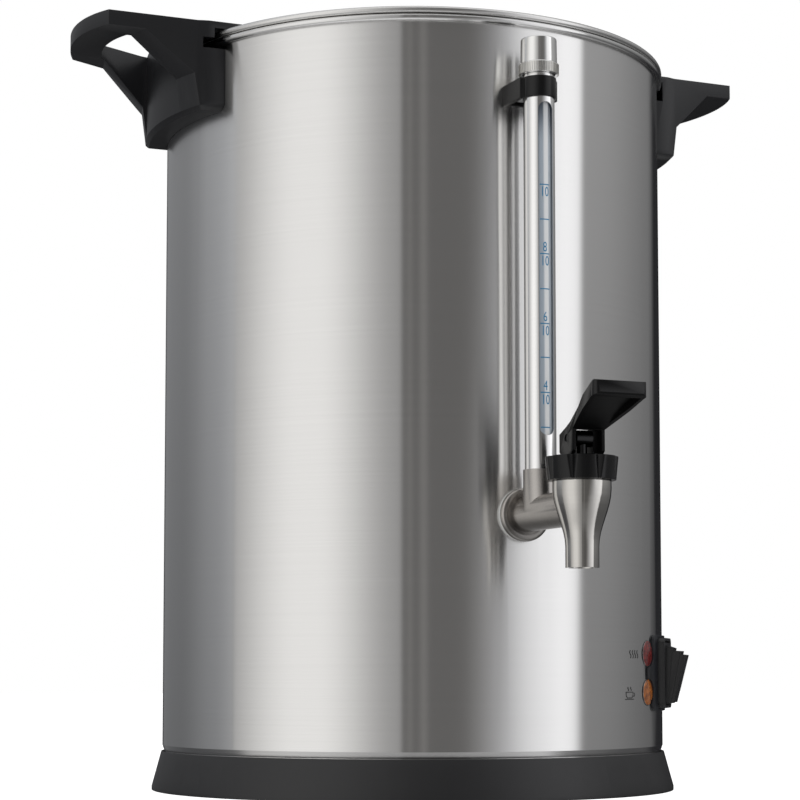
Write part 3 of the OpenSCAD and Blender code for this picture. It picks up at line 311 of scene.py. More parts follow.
finishes["moulded_brown"] = mouldedPlastic("mouldedBrown", (0.15, 0.09, 0.06), 0.42, 900.0, 0.00003)
finishes["ceramic"] = mouldedPlastic("glazedCeramic", (0.80, 0.78, 0.72), 0.28, 500.0, 0.00003)


gauge = {
    "y": -0.181,                      # line that the glass and its cap stand round
    "front": (0.0, 0.001),            # fade from the back half of the tube to its front half
    "stripeX": 0.0005,
    "stripe": (0.0009, 0.0021),       # half widths of the painted bright stripe, full and gone
    "shade": (0.372, 0.397),          # heights between which painted shade darkens the tube towards its top
}


def gaugeGlass(name):
    # tube with a pale stripe down its front, a painted highlight that stands in for the streak of light in the tube
    made, m = startMaterial(name)
    x, y, z = m.spot()
    ripple = m.noise(m.place((160, 160, 14)), 2.0, 0.5)
    front = (0 - (y - gauge["y"])).between(*gauge["front"])
    # painted highlight: a pale stripe down the front of the tube
    paintedStreak = (1 - (x - gauge["stripeX"]).size().between(*gauge["stripe"])) * front
    # painted shade: the tube darkens towards its top
    shade = z.between(*gauge["shade"])
    body = m.mixColour(shade, (0.50, 0.57, 0.65), (0.10, 0.12, 0.15))
    tint = m.mixColour(paintedStreak * (1 - shade * 0.35), body, (0.97, 0.985, 1.0))
    finishMaterial(m, {"Base Color": tint, "Roughness": 0.08 + ripple * 0.03, "IOR": 1.47,
                       "Transmission Weight": 0.22, "Coat Weight": 0.5 + ripple * 0.05,
                       "Normal": m.bump(ripple, 0.04, 0.0002)})
    return made


finishes["gauge_glass"] = gaugeGlass("gaugeGlass")


def lampLens(name, deep, bright, grain):
    # tinted lens: mottled inside, glossy outside
    made, m = startMaterial(name)
    mottle = m.noise(m.place((grain, grain, grain)), 3.0, 0.6)
    tone = m.mixColour(mottle.between(0.35, 0.68), deep, bright)
    finishMaterial(m, {"Base Color": tone, "Roughness": 0.16 + mottle * 0.08, "Coat Weight": 0.6 + mottle * 0.1,
                       "Normal": m.bump(mottle, 0.2, 0.0002)})
    return made


finishes["lamp_red"] = lampLens("lampRed", (0.085, 0.005, 0.005), (0.23, 0.018, 0.016), 340.0)
finishes["lamp_amber"] = lampLens("lampAmber", (0.20, 0.048, 0.005), (0.48, 0.145, 0.016), 300.0)
print("finishes:", len(finishes))

slotOf = {row["node"]: row["material_slot"] for row in frame["record"]["subparts"]}
ownFinish = {"tap_body": gobletSteel, "tap_shank": shankSteel, "tap_stem": stemSteel, "lever_pin": stemSteel}
bodyOf = {node: body for body, nodes in frame["record"]["behaviour"]["bodies"].items() for node in nodes}


def finishOf(node):
    return ownFinish.get(node) or finishes[slotOf[node]]


def paint(obj, finish):
    obj.data.materials.clear()
    obj.data.materials.append(finish)


def addPiece(name, mesh, node, finish=None, replaced=()):
    # a new piece that moves with the node and takes its slot
    obj = bpy.data.objects.new(name, mesh)
    bpy.context.scene.collection.objects.link(obj)
    paint(obj, finish or finishOf(node))
    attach(obj, bodyOf[node])
    if replaced:
        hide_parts(*replaced)
    return obj


def holderFor(mesh, name="holder"):
    obj = bpy.data.objects.new(name, mesh)
    bpy.context.scene.collection.objects.link(obj)
    return obj


def baked(obj):
    # the evaluated piece as a plain mesh, its holder gone
    graph = bpy.context.evaluated_depsgraph_get()
    mesh = bpy.data.meshes.new_from_object(obj.evaluated_get(graph), preserve_all_data_layers=False, depsgraph=graph)
    bpy.data.objects.remove(obj)
    return mesh


def rounded(mesh, width, limit=34.0):
    # edges sharper than limit, in degrees, rounded in three steps
    holder = holderFor(mesh)
    bevel = holder.modifiers.new("edges", "BEVEL")
    bevel.width, bevel.segments, bevel.limit_method = width, 3, "ANGLE"
    bevel.angle_limit, bevel.use_clamp_overlap = math.radians(limit), True
    return baked(holder)


def smooth(mesh, crease=32.0):
    mesh.shade_smooth()
    mesh.set_sharp_from_angle(angle=math.radians(crease))
    return mesh


def meshFrom(shape, name):
    mesh = bpy.data.meshes.new(name)
    shape.to_mesh(mesh)
    shape.free()
    return mesh


def band(shape, one, two):
    # faces between two loops that have as many corners
    n = len(one)
    for j in range(n):
        shape.faces.new((one[j], two[j], two[(j + 1) % n], one[(j + 1) % n]))


def merged(node, close=0.000004, flat=0.6):
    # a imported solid's loose triangles joined up, its flat faces made whole
    shape = bmesh.new()
    shape.from_mesh(frame["nodes"][node].data)
    bmesh.ops.remove_doubles(shape, verts=shape.verts, dist=close)
    bmesh.ops.dissolve_limit(shape, angle_limit=math.radians(flat), verts=shape.verts, edges=shape.edges)
    mesh = meshFrom(shape, node + "Shape")
    if "custom_normal" in mesh.attributes:
        mesh.attributes.remove(mesh.attributes["custom_normal"])
    return mesh


def dressed(node, edge):
    # stands for the solid: same shape, edges rounded by edge, smooth where it is round
    addPiece(node + ".dressed", smooth(rounded(merged(node), edge)), node, replaced=[node])


def eased(points, steps=5):
    # (across, along) or (across, along, ease): corners with an ease are rounded by it
    path = []
    for k, point in enumerate(points):
        if len(point) < 3:
            path.append((point[0], point[1]))
            continue
        here = Vector(point[:2])
        before = Vector(points[k - 1][:2]) - here
        after = Vector(points[(k + 1) % len(points)][:2]) - here
        start = here + before.normalized() * min(point[2], before.length * 0.49)
        end = here + after.normalized() * min(point[2], after.length * 0.49)
        for i in range(steps + 1):
            t = i / steps
            spot = start * (1 - t) ** 2 + here * (2 * t * (1 - t)) + end * t * t
            path.append((spot.x, spot.y))
    return path


def facingOut(mesh, degrees, height):
    # stands an upright turned mesh out from the urn's axis
    a = math.radians(degrees)
    for vert in mesh.vertices:
        x, y, h = vert.co
        vert.co = Vector((h * math.sin(a) + x * math.cos(a), -h * math.cos(a) + x * math.sin(a), height + y))
    return mesh


def turned(name, profile, at, around=72, lying=False, cut=None):
    # a closed profile in millimetres turned round a line through at, upright or lying out from the shell
    shape = bmesh.new()
    rings = []
    for k in range(around):
        a = 2 * math.pi * k / around
        ring = []
        for r, h in profile:
            reach = (cut(r, h, math.degrees(a)) if cut else r) / 1000
            x, y, z = reach * math.sin(a), -reach * math.cos(a), h / 1000
            if lying:
                y, z = -z, y
            ring.append(shape.verts.new((at[0] + x, at[1] + y, at[2] + z)))
        rings.append(ring)
    for k in range(around):
        band(shape, rings[k], rings[(k + 1) % around])
    bmesh.ops.remove_doubles(shape, verts=shape.verts, dist=0.0000005)
    bmesh.ops.recalc_face_normals(shape, faces=shape.faces)
    return meshFrom(shape, name)


tap = {"y": -0.230, "pin": 0.200}       # line of the tap's body and stem, and the height of the lever's pin


def prism(name, outline):
    # (out, up, half width) points made into a solid across X, out being -Y from the tap's pin
    shape = bmesh.new()
    left, right = [[shape.verts.new((side * w / 1000, tap["y"] - o / 1000, tap["pin"] + u / 1000))
                    for o, u, w in outline] for side in (-1, 1)]
    shape.faces.new(left)
    shape.faces.new(list(reversed(right)))
    band(shape, left, right)
    bmesh.ops.recalc_face_normals(shape, faces=shape.faces)
    return meshFrom(shape, name)


# body, lid and inner parts keep the solids' own faces
for node, obj in frame["nodes"].items():
    paint(obj, finishOf(node))

edges = {   # how far each moulded or pressed edge is rounded, in metres
    "base_ring": 0.0010, "handle_left": 0.0011, "handle_right": 0.0011, "lid_knob": 0.0008,
    "gauge_clip": 0.0006, "gauge_guard": 0.00025, "control_panel": 0.0006,
    "switch_housing": 0.0008, "switch_rocker": 0.0007, "tap_body": 0.0002,
    "cord_gland": 0.0006, "bottom_plate": 0.0003, "tap_lock_nut": 0.0003,
}
for node, edge in edges.items():
    dressed(node, edge)
print("dressed solids:", len(edges))

bonnet = {
    "at": (0, tap["y"], 0), "flutes": 8, "turn": 2.0,
    "foot": 177.1, "tall": 12.9,
    "edge": (18.75, 1.2),                 # radius at the foot, and how much it grows up to the top
    "core": 14,                           # nothing nearer the axis is cut
    "wide": (3.5, 8.5),                   # half width of a groove in degrees, at the foot and at the top
    "deep": (0.8, 2.3),
    # (radius, height, how far the corner is eased)
    "profile": [(13.5, 177.1), (18.75, 177.1, 0.25), (18.9, 179.0), (19.15, 181.5), (19.4, 184), (19.65, 186.5),
                (19.9, 189.0), (19.95, 190.0, 0.75), (17.0, 190.0), (11.0, 190.0),
                (3.05, 190.0), (3.05, 186.0), (13.5, 186.0)],
}


def fluteCut(r, h, degrees):
    # V grooves down the bonnet, wide at the top
    step = 360 / bonnet["flutes"]
    high = min(1.0, max(0.0, (h - bonnet["foot"]) / bonnet["tall"]))
    wide, deep = [low + (top - low) * high for low, top in (bonnet["wide"], bonnet["deep"])]
    depth = deep * max(0.0, 1 - abs((degrees - bonnet["turn"] + step / 2) % step - step / 2) / wide)
    reach, growth = bonnet["edge"]
    return min(r, reach + growth * high - depth) if depth > 0 and r > bonnet["core"] else r


bonnetMesh = turned("bonnetShape", eased(bonnet["profile"]), bonnet["at"], around=360, cut=fluteCut)
addPiece("tap_bonnet.turned", smooth(bonnetMesh, crease=28.0), "tap_bonnet", replaced=["tap_bonnet"])

# millimetres out, up and across from the lever's pin
lever = {
    "edge": 0.0007,                       # rounding, in metres
    "fork": 8.35,                         # points farther across than this are on the lever's sides
    "arm": 40.6,                          # where its broad tip starts
    "sides": [(0, 9.3), (8.25, 9.9), (18.2, 12.3), (28.2, 14.4), (40.5, 15.9)],      # half width along its length
    "under": (9, 40), "line": (8.25, 4.4, 0.55),      # the underside: between these, and below a line from a point
    "belly": [(8.25, 0.0), (18.2, 1.1), (28.2, 1.7), (40.5, 0.0)],      # how much lower it runs than the solid's
    # (out, up, half width) of the hollow under the lever and of the one in the front of its fork
    "hollow": [(12.5, 5.0, 8.4), (19.5, 11.8, 10.4), (28.4, 16.9, 12.4), (41.2, 22.9, 13.9),
               (41.2, 10, 13.9), (28, 5, 12.4), (12.5, -2, 8.4)],
    "mouth": [(3.6, -10.5, 8.0), (11.0, -10.5, 8.0), (11.0, 4.2, 8.0), (3.6, 4.2, 8.0)],
    "mouthBox": {"across": 8.3, "out": (3, 20), "up": 9},       # holds the walls of the opening in front, which take the painted shade
}


def along(table, at):
    # reads a table of (where, value) with straight lines between its rows
    for (low, first), (high, second) in zip(table, table[1:]):
        if at <= high:
            return first + (second - first) * max(0.0, at - low) / (high - low)
    return table[-1][1]


def fromPin(spot):
    # out, up and across in millimetres
    return -spot.y * 1000 + tap["y"] * 1000, spot.z * 1000 - tap["pin"] * 1000, spot.x * 1000


leverShape = merged("tap_lever")
start, lift, slope = lever["line"]
for vert in leverShape.vertices:
    out, up, across = fromPin(vert.co)
    if abs(across) > lever["fork"] and out < lever["arm"]:
        vert.co.x = math.copysign(along(lever["sides"], out) / 1000, vert.co.x)
    if lever["under"][0] < out < lever["under"][1] and up < lift + (out - start) * slope:
        vert.co.z -= along(lever["belly"], out) / 1000
leverHolder = holderFor(leverShape)
cutters = [holderFor(prism(part, lever[part])) for part in ("hollow", "mouth")]
for cutter in cutters:
    scoop = leverHolder.modifiers.new("scoop", "BOOLEAN")
    scoop.object, scoop.operation, scoop.solver = cutter, "DIFFERENCE", "EXACT"
leverMesh = baked(leverHolder)
for cutter in cutters:
    bpy.data.objects.remove(cutter)
leverPiece = addPiece("tap_lever.shaped", smooth(rounded(leverMesh, lever["edge"], limit=30.0)), "tap_lever",
                      replaced=["tap_lever"])
# painted shade: the lever's downward faces, the inner faces of its fork and the walls of its mouth take the darker
# copy
leverPiece.data.materials.append(hollowShadePlastic)
box = lever["mouthBox"]
for face in leverPiece.data.polygons:
    out, up, across = fromPin(face.center)
    downward = face.normal.z < -0.25
    inward = abs(face.normal.x) > 0.7 and face.normal.x * across < 0
    inMouth = abs(across) < box["across"] and box["out"][0] < out < box["out"][1] and up < box["up"]
    if downward or inward or (inMouth and face.normal.z < 0.5):
        face.material_index = 1

spring = {
    "at": (0, tap["y"]), "low": 0.1625, "high": 0.1832, "turns": 4.5, "coil": 0.0056, "wire": 0.0006,
    "seat": 0.1839, "travel": 0.0026, "steps": 30, "sides": 10,
}


def coilSpring(look):
    # round wire wound up a helix, closed at both ends
    shape = bmesh.new()
    count = int(look["turns"] * look["steps"])
    rings = []
    for i in range(count + 1):
        a = 2 * math.pi * look["turns"] * i / count
        height = look["low"] + (look["high"] - look["low"]) * i / count
        ring = []
        for j in range(look["sides"]):
            b = 2 * math.pi * j / look["sides"]
            reach = look["coil"] + look["wire"] * math.cos(b)
            ring.append(shape.verts.new((look["at"][0] + reach * math.cos(a), look["at"][1] + reach * math.sin(a),
                                         height + look["wire"] * math.sin(b))))
        rings.append(ring)
    for one, two in zip(rings, rings[1:]):
        band(shape, one, two)
    shape.faces.new(rings[0])
    shape.faces.new(list(reversed(rings[-1])))
    bmesh.ops.recalc_face_normals(shape, faces=shape.faces)
    return meshFrom(shape, "springShape")


springMesh = smooth(coilSpring(spring), crease=50.0)
springPiece = addPiece("tap_spring.wound", springMesh, "tap_spring", replaced=["tap_spring"])
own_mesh(springPiece)

collar = {
    "at": (0, 0, 0.163),
    "shankEdge": 0.0003,                  # rounding of the shank that it sits on, in metres
    # (radius, how far out from the urn's axis)
    "profile": [(10.02, 159.85), (15.45, 159.85, 0.3), (15.45, 162.9, 1.6), (12.6, 163.7, 0.8), (11.0, 163.4, 0.5),
                (10.02, 163.3)],
}
dressed("tap_shank", collar["shankEdge"])
collarMesh = turned("collarShape", eased(collar["profile"]), collar["at"], lying=True)
addPiece("tap_collar", smooth(collarMesh), "tap_shank")

lamps = {
    "degrees": 40.4,
    "heights": {"lamp_red": 0.0843, "lamp_amber": 0.0609},
    # (radius, how far out from the axis)
    "lens": [(0.02, 157.5), (7.65, 157.5), (7.65, 158.55, 0.3), (6.8, 158.85, 0.3), (4.4, 159.05), (2.3, 159.15),
             (0.02, 159.2)],
    "lip": [(7.67, 157.5), (7.67, 158.35, 0.05), (7.85, 158.35, 0.05), (7.85, 157.5)],
    "foot": [(7.87, 157.5), (7.87, 158.3, 0.06), (8.05, 158.2, 0.1), (8.05, 157.5)],
}


def lampPart(name, part, height):
    flat = turned(name, eased(lamps[part], steps=3), (0, 0, 0), around=48)
    return smooth(facingOut(flat, lamps["degrees"], height), crease=40.0)


for node, height in lamps["heights"].items():
    addPiece(node + ".lens", lampPart(node + "Lens", "lens", height), node, replaced=[node])
for k, (node, height) in enumerate(lamps["heights"].items()):
    for part in ("lip", "foot"):
        addPiece(f"{node}_{part}", lampPart(f"{node}_{part}Shape", part, height), "lamp_bezels",
                 finishes["black_panel"] if part == "foot" else None,
                 replaced=["lamp_bezels"] if k == 0 and part == "lip" else ())

rims = {"reach": 159.0, "shell": 450.7, "lid": 455.0, "thick": 2.03}


def rollRing(name, height, node):
    # smooth round wire edge over the solid's own
    turns = [math.radians(d) for d in range(0, 360, 20)]
    loop = [(rims["reach"] + rims["thick"] * math.cos(a), height + rims["thick"] * math.sin(a)) for a in turns]
    mesh = turned(name + "Shape", loop, (0, 0, 0), around=288)
    addPiece(name, smooth(mesh, crease=60.0), node)


rollRing("shell_roll", rims["shell"], "body_shell")
rollRing("lid_roll", rims["lid"], "lid")

glass = {
    "at": (0, gauge["y"], 0),
    "profile": [(4.6, 176.2), (6.0, 176.2), (6.0, 189.0), (7.5, 190.5), (7.5, 409.0), (6.0, 410.5), (6.0, 420.9),
                (4.6, 420.9)],
}
glassMesh = turned("glassShape", glass["profile"], glass["at"], around=96)
addPiece("gauge_glass.turned", smooth(glassMesh), "gauge_glass", replaced=["gauge_glass"])

cap = {
    "at": (0, gauge["y"], 0),
    "profile": [(9.4, 414.05), (11.0, 414.05, 0.3), (11.15, 420.0, 0.4), (10.55, 420.5), (10.5, 424.0), (10.4, 430.0),
                (10.3, 434.9, 0.95), (3.0, 434.95), (3.0, 424.6), (9.4, 424.6)],
    "ribs": 52, "ribSize": (0.00070, 0.00078, 0.0056), "ribAt": 0.4170, "ribOut": 0.01122,
}
capMesh = turned("capShape", eased(cap["profile"]), cap["at"])
addPiece("gauge_cap.turned", smooth(capMesh, crease=35.0), "gauge_cap", replaced=["gauge_cap"])


def nodeTree(name, kinds):
    # a geometry tree with named number inputs, taken in by an empty mesh
    tree = bpy.data.node_groups.new(name, "GeometryNodeTree")
    tree.interface.new_socket("Geometry", in_out="INPUT", socket_type="NodeSocketGeometry")
    for label, kind in kinds.items():
        tree.interface.new_socket(label, in_out="INPUT", socket_type=kind)
    tree.interface.new_socket("Geometry", in_out="OUTPUT", socket_type="NodeSocketGeometry")
    return tree, tree.nodes.new("NodeGroupInput"), tree.nodes.new("NodeGroupOutput")


def grown(name, tree, values):
    # runs the tree on an empty mesh and gives the result as a plain mesh
    holder = holderFor(bpy.data.meshes.new(name + "Seed"), name + "Seed")
    run = holder.modifiers.new("grow", "NODES")
    run.node_group = tree
    ids = {s.name: s.identifier for s in tree.interface.items_tree if s.in_out == "INPUT"}
    for label, value in values.items():
        run[ids[label]] = value
    mesh = baked(holder)
    mesh.name = name
    return mesh


def addNode(tree, kind, settings=None, values=None):
    made = tree.nodes.new(kind)
    for key, value in (settings or {}).items():
        setattr(made, key, value)
    for key, value in (values or {}).items():
        if isinstance(value, bpy.types.NodeSocket):
            tree.links.new(value, made.inputs[key])
        else:
            made.inputs[key].default_value = value
    return made


def laid(tree, stand, middle, height, finish, out):
    # the instances lifted to their place, made real and clad
    where = addNode(tree, "ShaderNodeCombineXYZ", {}, {0: 0.0, 1: middle, 2: height})
    move = addNode(tree, "GeometryNodeTransform", {}, {
        "Geometry": stand.outputs[0], "Translation": where.outputs[0]})
    real = addNode(tree, "GeometryNodeRealizeInstances", {}, {"Geometry": move.outputs[0]})
    clad = addNode(tree, "GeometryNodeSetMaterial", {}, {"Geometry": real.outputs[0], "Material": finish})
    tree.links.new(clad.outputs[0], out.inputs[0])


def ribRing(name, look, finish):
    # the same small rib stood round a ring
    tree, given, out = nodeTree(name, {
        "Ribs": "NodeSocketInt", "Reach": "NodeSocketFloat", "Height": "NodeSocketFloat",
        "Middle": "NodeSocketFloat", "Size": "NodeSocketVector"})
    ring = addNode(tree, "GeometryNodeMeshCircle", {}, {
        "Vertices": given.outputs["Ribs"], "Radius": given.outputs["Reach"]})
    spot = addNode(tree, "GeometryNodeInputPosition")
    turn = addNode(tree, "FunctionNodeAlignRotationToVector", {"axis": "X"}, {"Vector": spot.outputs[0]})
    rib = addNode(tree, "GeometryNodeMeshCube", {}, {"Size": given.outputs["Size"]})
    stand = addNode(tree, "GeometryNodeInstanceOnPoints", {}, {
        "Points": ring.outputs[0], "Instance": rib.outputs[0], "Rotation": turn.outputs[0]})
    laid(tree, stand, given.outputs["Middle"], given.outputs["Height"], finish, out)
    return grown(name, tree, {
        "Ribs": look["ribs"], "Reach": look["ribOut"], "Height": look["ribAt"], "Middle": look["at"][1],
        "Size": look["ribSize"]})


addPiece("gauge_cap.knurl", ribRing("knurl", cap, knurlSteel), "gauge_cap", knurlSteel)


bend = {"slice": 0.0008, "slices": 12}      # a drawing is cut into slices before it is bent


def printed(name, mesh, centre, radius, degrees, height, node, finish):
    # a flat drawing in X and Z bent onto an upright round wall, facing out from its line
    shape = bmesh.new()
    shape.from_mesh(mesh)
    for k in range(-bend["slices"], bend["slices"] + 1):
        bmesh.ops.bisect_plane(shape, geom=shape.verts[:] + shape.edges[:] + shape.faces[:],
                               plane_co=(k * bend["slice"], 0, 0), plane_no=(1, 0, 0))
    for vert in shape.verts:
        a = math.radians(degrees) + vert.co.x / radius
        vert.co = Vector((centre[0] + radius * math.sin(a), centre[1] - radius * math.cos(a), height + vert.co.z))
    bmesh.ops.triangulate(shape, faces=shape.faces)
    for face in shape.faces:
        face.normal_update()
        middle = face.calc_center_median()
        if face.normal.dot(middle - Vector((*centre, middle.z))) < 0:
            face.normal_flip()
    addPiece(name, meshFrom(shape, name), node, finish)


def lettering(words, size, narrow):
    # plain figures as a flat mesh in X and Z, middled
    curve = bpy.data.curves.new("figures", "FONT")
    curve.body, curve.size, curve.align_x, curve.resolution_u = words, size, "CENTER", 3
    flat = baked(holderFor(curve))
    high = [v.co.y for v in flat.vertices]
    middle = (min(high) + max(high)) / 2
    for vert in flat.vertices:
        vert.co = Vector((vert.co.x * narrow, 0, vert.co.y - middle))
    return flat


def ribbons(strokes, width):
    # lines of even width as a flat mesh in X and Z
    shape = bmesh.new()
    for stroke in strokes:
        path = [Vector((x / 1000, z / 1000)) for x, z in stroke]
        sides = []
        for k, here in enumerate(path):
            way = path[min(k + 1, len(path) - 1)] - path[max(k - 1, 0)]
            off = Vector((-way.y, way.x)).normalized() * width / 2000
            sides.append([shape.verts.new((here.x + s * off.x, 0, here.y + s * off.y)) for s in (1, -1)])
        for one, two in zip(sides, sides[1:]):
            shape.faces.new((one[0], one[1], two[1], two[0]))
    return meshFrom(shape, "ribbons")


def straight(first, last, steps):
    # evenly spaced values from first to last
    return [first + (last - first) * k / steps for k in range(steps + 1)]


def wave(x, low, high, swing, steps=14):
    # one upright swing either side of x
    return [(x + swing * math.sin(2 * math.pi * k / steps), z) for k, z in enumerate(straight(low, high, steps))]


marks = {
    "centre": (0, gauge["y"]), "radius": 0.00757, "leaning": -3.0, "figure": 0.0080, "narrow": 0.66,
    "line": 5.9, "thick": 0.6, "lift": 0.0040,
    # height, figure over the line, figure under it
    "rows": [(0.3492, "", "10"), (0.3292, "", ""), (0.3094, "8", "10"), (0.2893, "", ""),
             (0.2695, "6", "10"), (0.2502, "", ""), (0.2303, "4", "10"), (0.2105, "", "")],
}


def ink(name, colour, roughness):
    # printed on, a little patchy
    made, m = startMaterial(name)
    patchy = m.noise(m.place((700, 700, 700)), 2.0, 0.5)
    tone = m.mixColour(patchy, shaded(colour, 0.85), shaded(colour, 1.15))
    finishMaterial(m, {"Base Color": tone, "Roughness": roughness + patchy * 0.06})
    return made


blueInk = ink("blueInk", (0.012, 0.20, 0.40), 0.42)
# grey ink for print, also used as the painted shade of the punched holes
greyInkAndHoleShade = ink("greyInkAndHoleShade", (0.030, 0.030, 0.032), 0.5)


def onGlass(name, mesh, height):
    printed(name, mesh, marks["centre"], marks["radius"], marks["leaning"], height, "gauge_glass", blueInk)


for k, (height, over, under) in enumerate(marks["rows"], 1):
    line = [(x, 0) for x in straight(-marks["line"] / 2, marks["line"] / 2, 8)]
    onGlass(f"gauge_mark_{k}", ribbons([line], marks["thick"]), height)
    for words, side, lift in ((over, "over", marks["lift"]), (under, "under", -marks["lift"])):
        if words:
            figure = lettering(words, marks["figure"], marks["narrow"])
            onGlass(f"gauge_figure_{words}_{k}_{side}", figure, height + lift)

# millimetres across and up from the middle of each sign
signs = {
    "heating": {"degrees": 33.3, "height": 0.0838,
                "strokes": [wave(x, -2.4, 2.4, 0.75) for x in (-4.4, -1.4, 1.6, 4.6)]},
    "keepWarm": {"degrees": 31.6, "height": 0.0606,
                 "strokes": [[(-5.2, 0.6), (-4.9, -1.6), (-3.7, -2.8), (1.7, -2.8), (2.9, -1.6), (3.2, 0.6),
                              (-5.2, 0.6)],
                             [(3.1, 0.0), (4.9, 0.0), (5.3, -0.9), (4.7, -1.8), (2.9, -1.8)],
                             [(-6.2, -3.6), (4.2, -3.6)],
                             wave(-2.6, 1.4, 3.6, 0.45), wave(0.6, 1.4, 3.6, 0.45)]},
}
signPrint = {"radius": 0.15812, "width": 0.55}
for name, sign in signs.items():
    printed(name + "_sign", ribbons(sign["strokes"], signPrint["width"]), (0, 0), signPrint["radius"],
            sign["degrees"], sign["height"], "body_shell", greyInkAndHoleShade)

seam = {"degrees": 165, "radius": 0.15807, "low": 47, "high": 446, "width": 1.3}
seamLine = [(0, z) for z in straight(seam["low"], seam["high"], 20)]
printed("weld_seam", ribbons([seamLine], seam["width"]), (0, 0), seam["radius"], seam["degrees"], 0,
        "body_shell", weldSteel)

punched = {
    "hole": 0.0009, "pitch": 0.0042, "reach": 0.100,
    "clear": 0.014,                       # no holes nearer the axis, where the pump tube passes
    "lift": 0.00004,                      # the discs lie this far off the sheet
    # heights of the lower and upper face
    "sheets": {"coffee_basket": (0.3600, 0.3608), "basket_cover": (0.4323, 0.4331)},
}


def holeField(name, look, height, finish):
    # punched holes drawn as dark discs, painted shade in place of the openings, on a square grid over one face of a
    # round sheet
    tree, given, out = nodeTree(name, {
        "Reach": "NodeSocketFloat", "Hole": "NodeSocketFloat", "Height": "NodeSocketFloat",
        "Count": "NodeSocketInt", "Clear": "NodeSocketFloat"})
    double = addNode(tree, "ShaderNodeMath", {"operation": "MULTIPLY"}, {0: given.outputs["Reach"], 1: 2.0})
    grid = addNode(tree, "GeometryNodeMeshGrid", {}, {
        "Size X": double.outputs[0], "Size Y": double.outputs[0],
        "Vertices X": given.outputs["Count"], "Vertices Y": given.outputs["Count"]})
    spot = addNode(tree, "GeometryNodeInputPosition")
    far = addNode(tree, "ShaderNodeVectorMath", {"operation": "LENGTH"}, {0: spot.outputs[0]})
    inside = addNode(tree, "ShaderNodeMath", {"operation": "LESS_THAN"}, {
        0: far.outputs["Value"], 1: given.outputs["Reach"]})
    outside = addNode(tree, "ShaderNodeMath", {"operation": "GREATER_THAN"}, {
        0: far.outputs["Value"], 1: given.outputs["Clear"]})
    both = addNode(tree, "ShaderNodeMath", {"operation": "MULTIPLY"}, {0: inside.outputs[0], 1: outside.outputs[0]})
    disc = addNode(tree, "GeometryNodeMeshCircle", {"fill_type": "NGON"}, {
        "Vertices": 8, "Radius": given.outputs["Hole"]})
    stand = addNode(tree, "GeometryNodeInstanceOnPoints", {}, {
        "Points": grid.outputs[0], "Instance": disc.outputs[0], "Selection": both.outputs[0]})
    laid(tree, stand, 0.0, given.outputs["Height"], finish, out)
    return grown(name, tree, {
        "Reach": look["reach"], "Hole": look["hole"], "Height": height,
        "Count": int(2 * look["reach"] / look["pitch"]) + 1, "Clear": look["clear"]})


for node, (low, high) in punched["sheets"].items():
    for side, height in (("under", low - punched["lift"]), ("over", high + punched["lift"])):
        # painted shade: each hole is a dark disc lying on the sheet's face
        mesh = holeField(f"{node}_holes_{side}", punched, height, greyInkAndHoleShade)
        if side == "under":
            mesh.flip_normals()
        addPiece(f"{node}_holes_{side}", mesh, node, greyInkAndHoleShade)


studio = {
    "soft": 0.50,          # level that the room gives matt surfaces
    "dark": (0.022, 0.022, 0.024),
    # level, and the steepness between which it fades in: upwards for the ceiling, downwards for the others
    "ceiling": (0.85, 0.72, 0.95),
    "ground": (0.36, 0.36, 0.74),
    "floor": (1.0, 0.76, 0.96),
    "climbFrom": 0.1,      # a light's climb grows or shrinks it from this height
}
# what polished metal sees round the room: degrees from the camera's own side, positive to its right
roomLights = {
    "leftWall": {"rise": (-167, -161), "fall": (-88.5, -87), "climb": 1.75,
                 "level": 0.19, "tint": (0.98, 1.0, 1.03)},
    "leftWallGlow": {"rise": (-132, -92), "fall": (-88.5, -87), "climb": 1.75,
                     "level": 0.16, "tint": (0.98, 1.0, 1.03)},
    "leftSheet": {"rise": (-88, -87), "fall": (-5.4, -4.2), "level": 0.36, "tint": (1.01, 1.0, 0.985)},
    "leftBox": {"rise": (-101, -52), "fall": (-44, -4), "level": 0.66, "tint": (1.01, 1.0, 0.98)},
    "front": {"rise": (-5.4, -4.2), "fall": (26, 44), "level": 0.118, "tint": (1.03, 1.0, 0.96)},
    "frontStrip": {"rise": (-3, -1), "fall": (-1, 1), "level": 0.07, "tint": (1.03, 1.0, 0.96)},
    "rightStrip": {"rise": (2, 5), "fall": (5, 8), "level": 0.08, "tint": (1.03, 1.0, 0.96)},
    "rightBox": {"rise": (20, 62), "fall": (77, 82), "lean": 16, "climb": 0.6,
                 "level": 1.06, "tint": (1.0, 1.0, 1.015)},
    "rightBoxCore": {"rise": (56, 72), "fall": (77, 82), "lean": 16, "level": 0.22, "tint": (1.0, 1.0, 1.0)},
    "rightWall": {"rise": (77, 82), "fall": (138, 149), "lean": 16, "climb": 1.7,
                  "level": 0.15, "tint": (1.0, 1.0, 1.0)},
    "rightWallGlow": {"rise": (77, 82), "fall": (84, 146), "lean": 16, "climb": 1.2,
                      "level": 0.15, "tint": (1.0, 1.0, 1.0)},
}


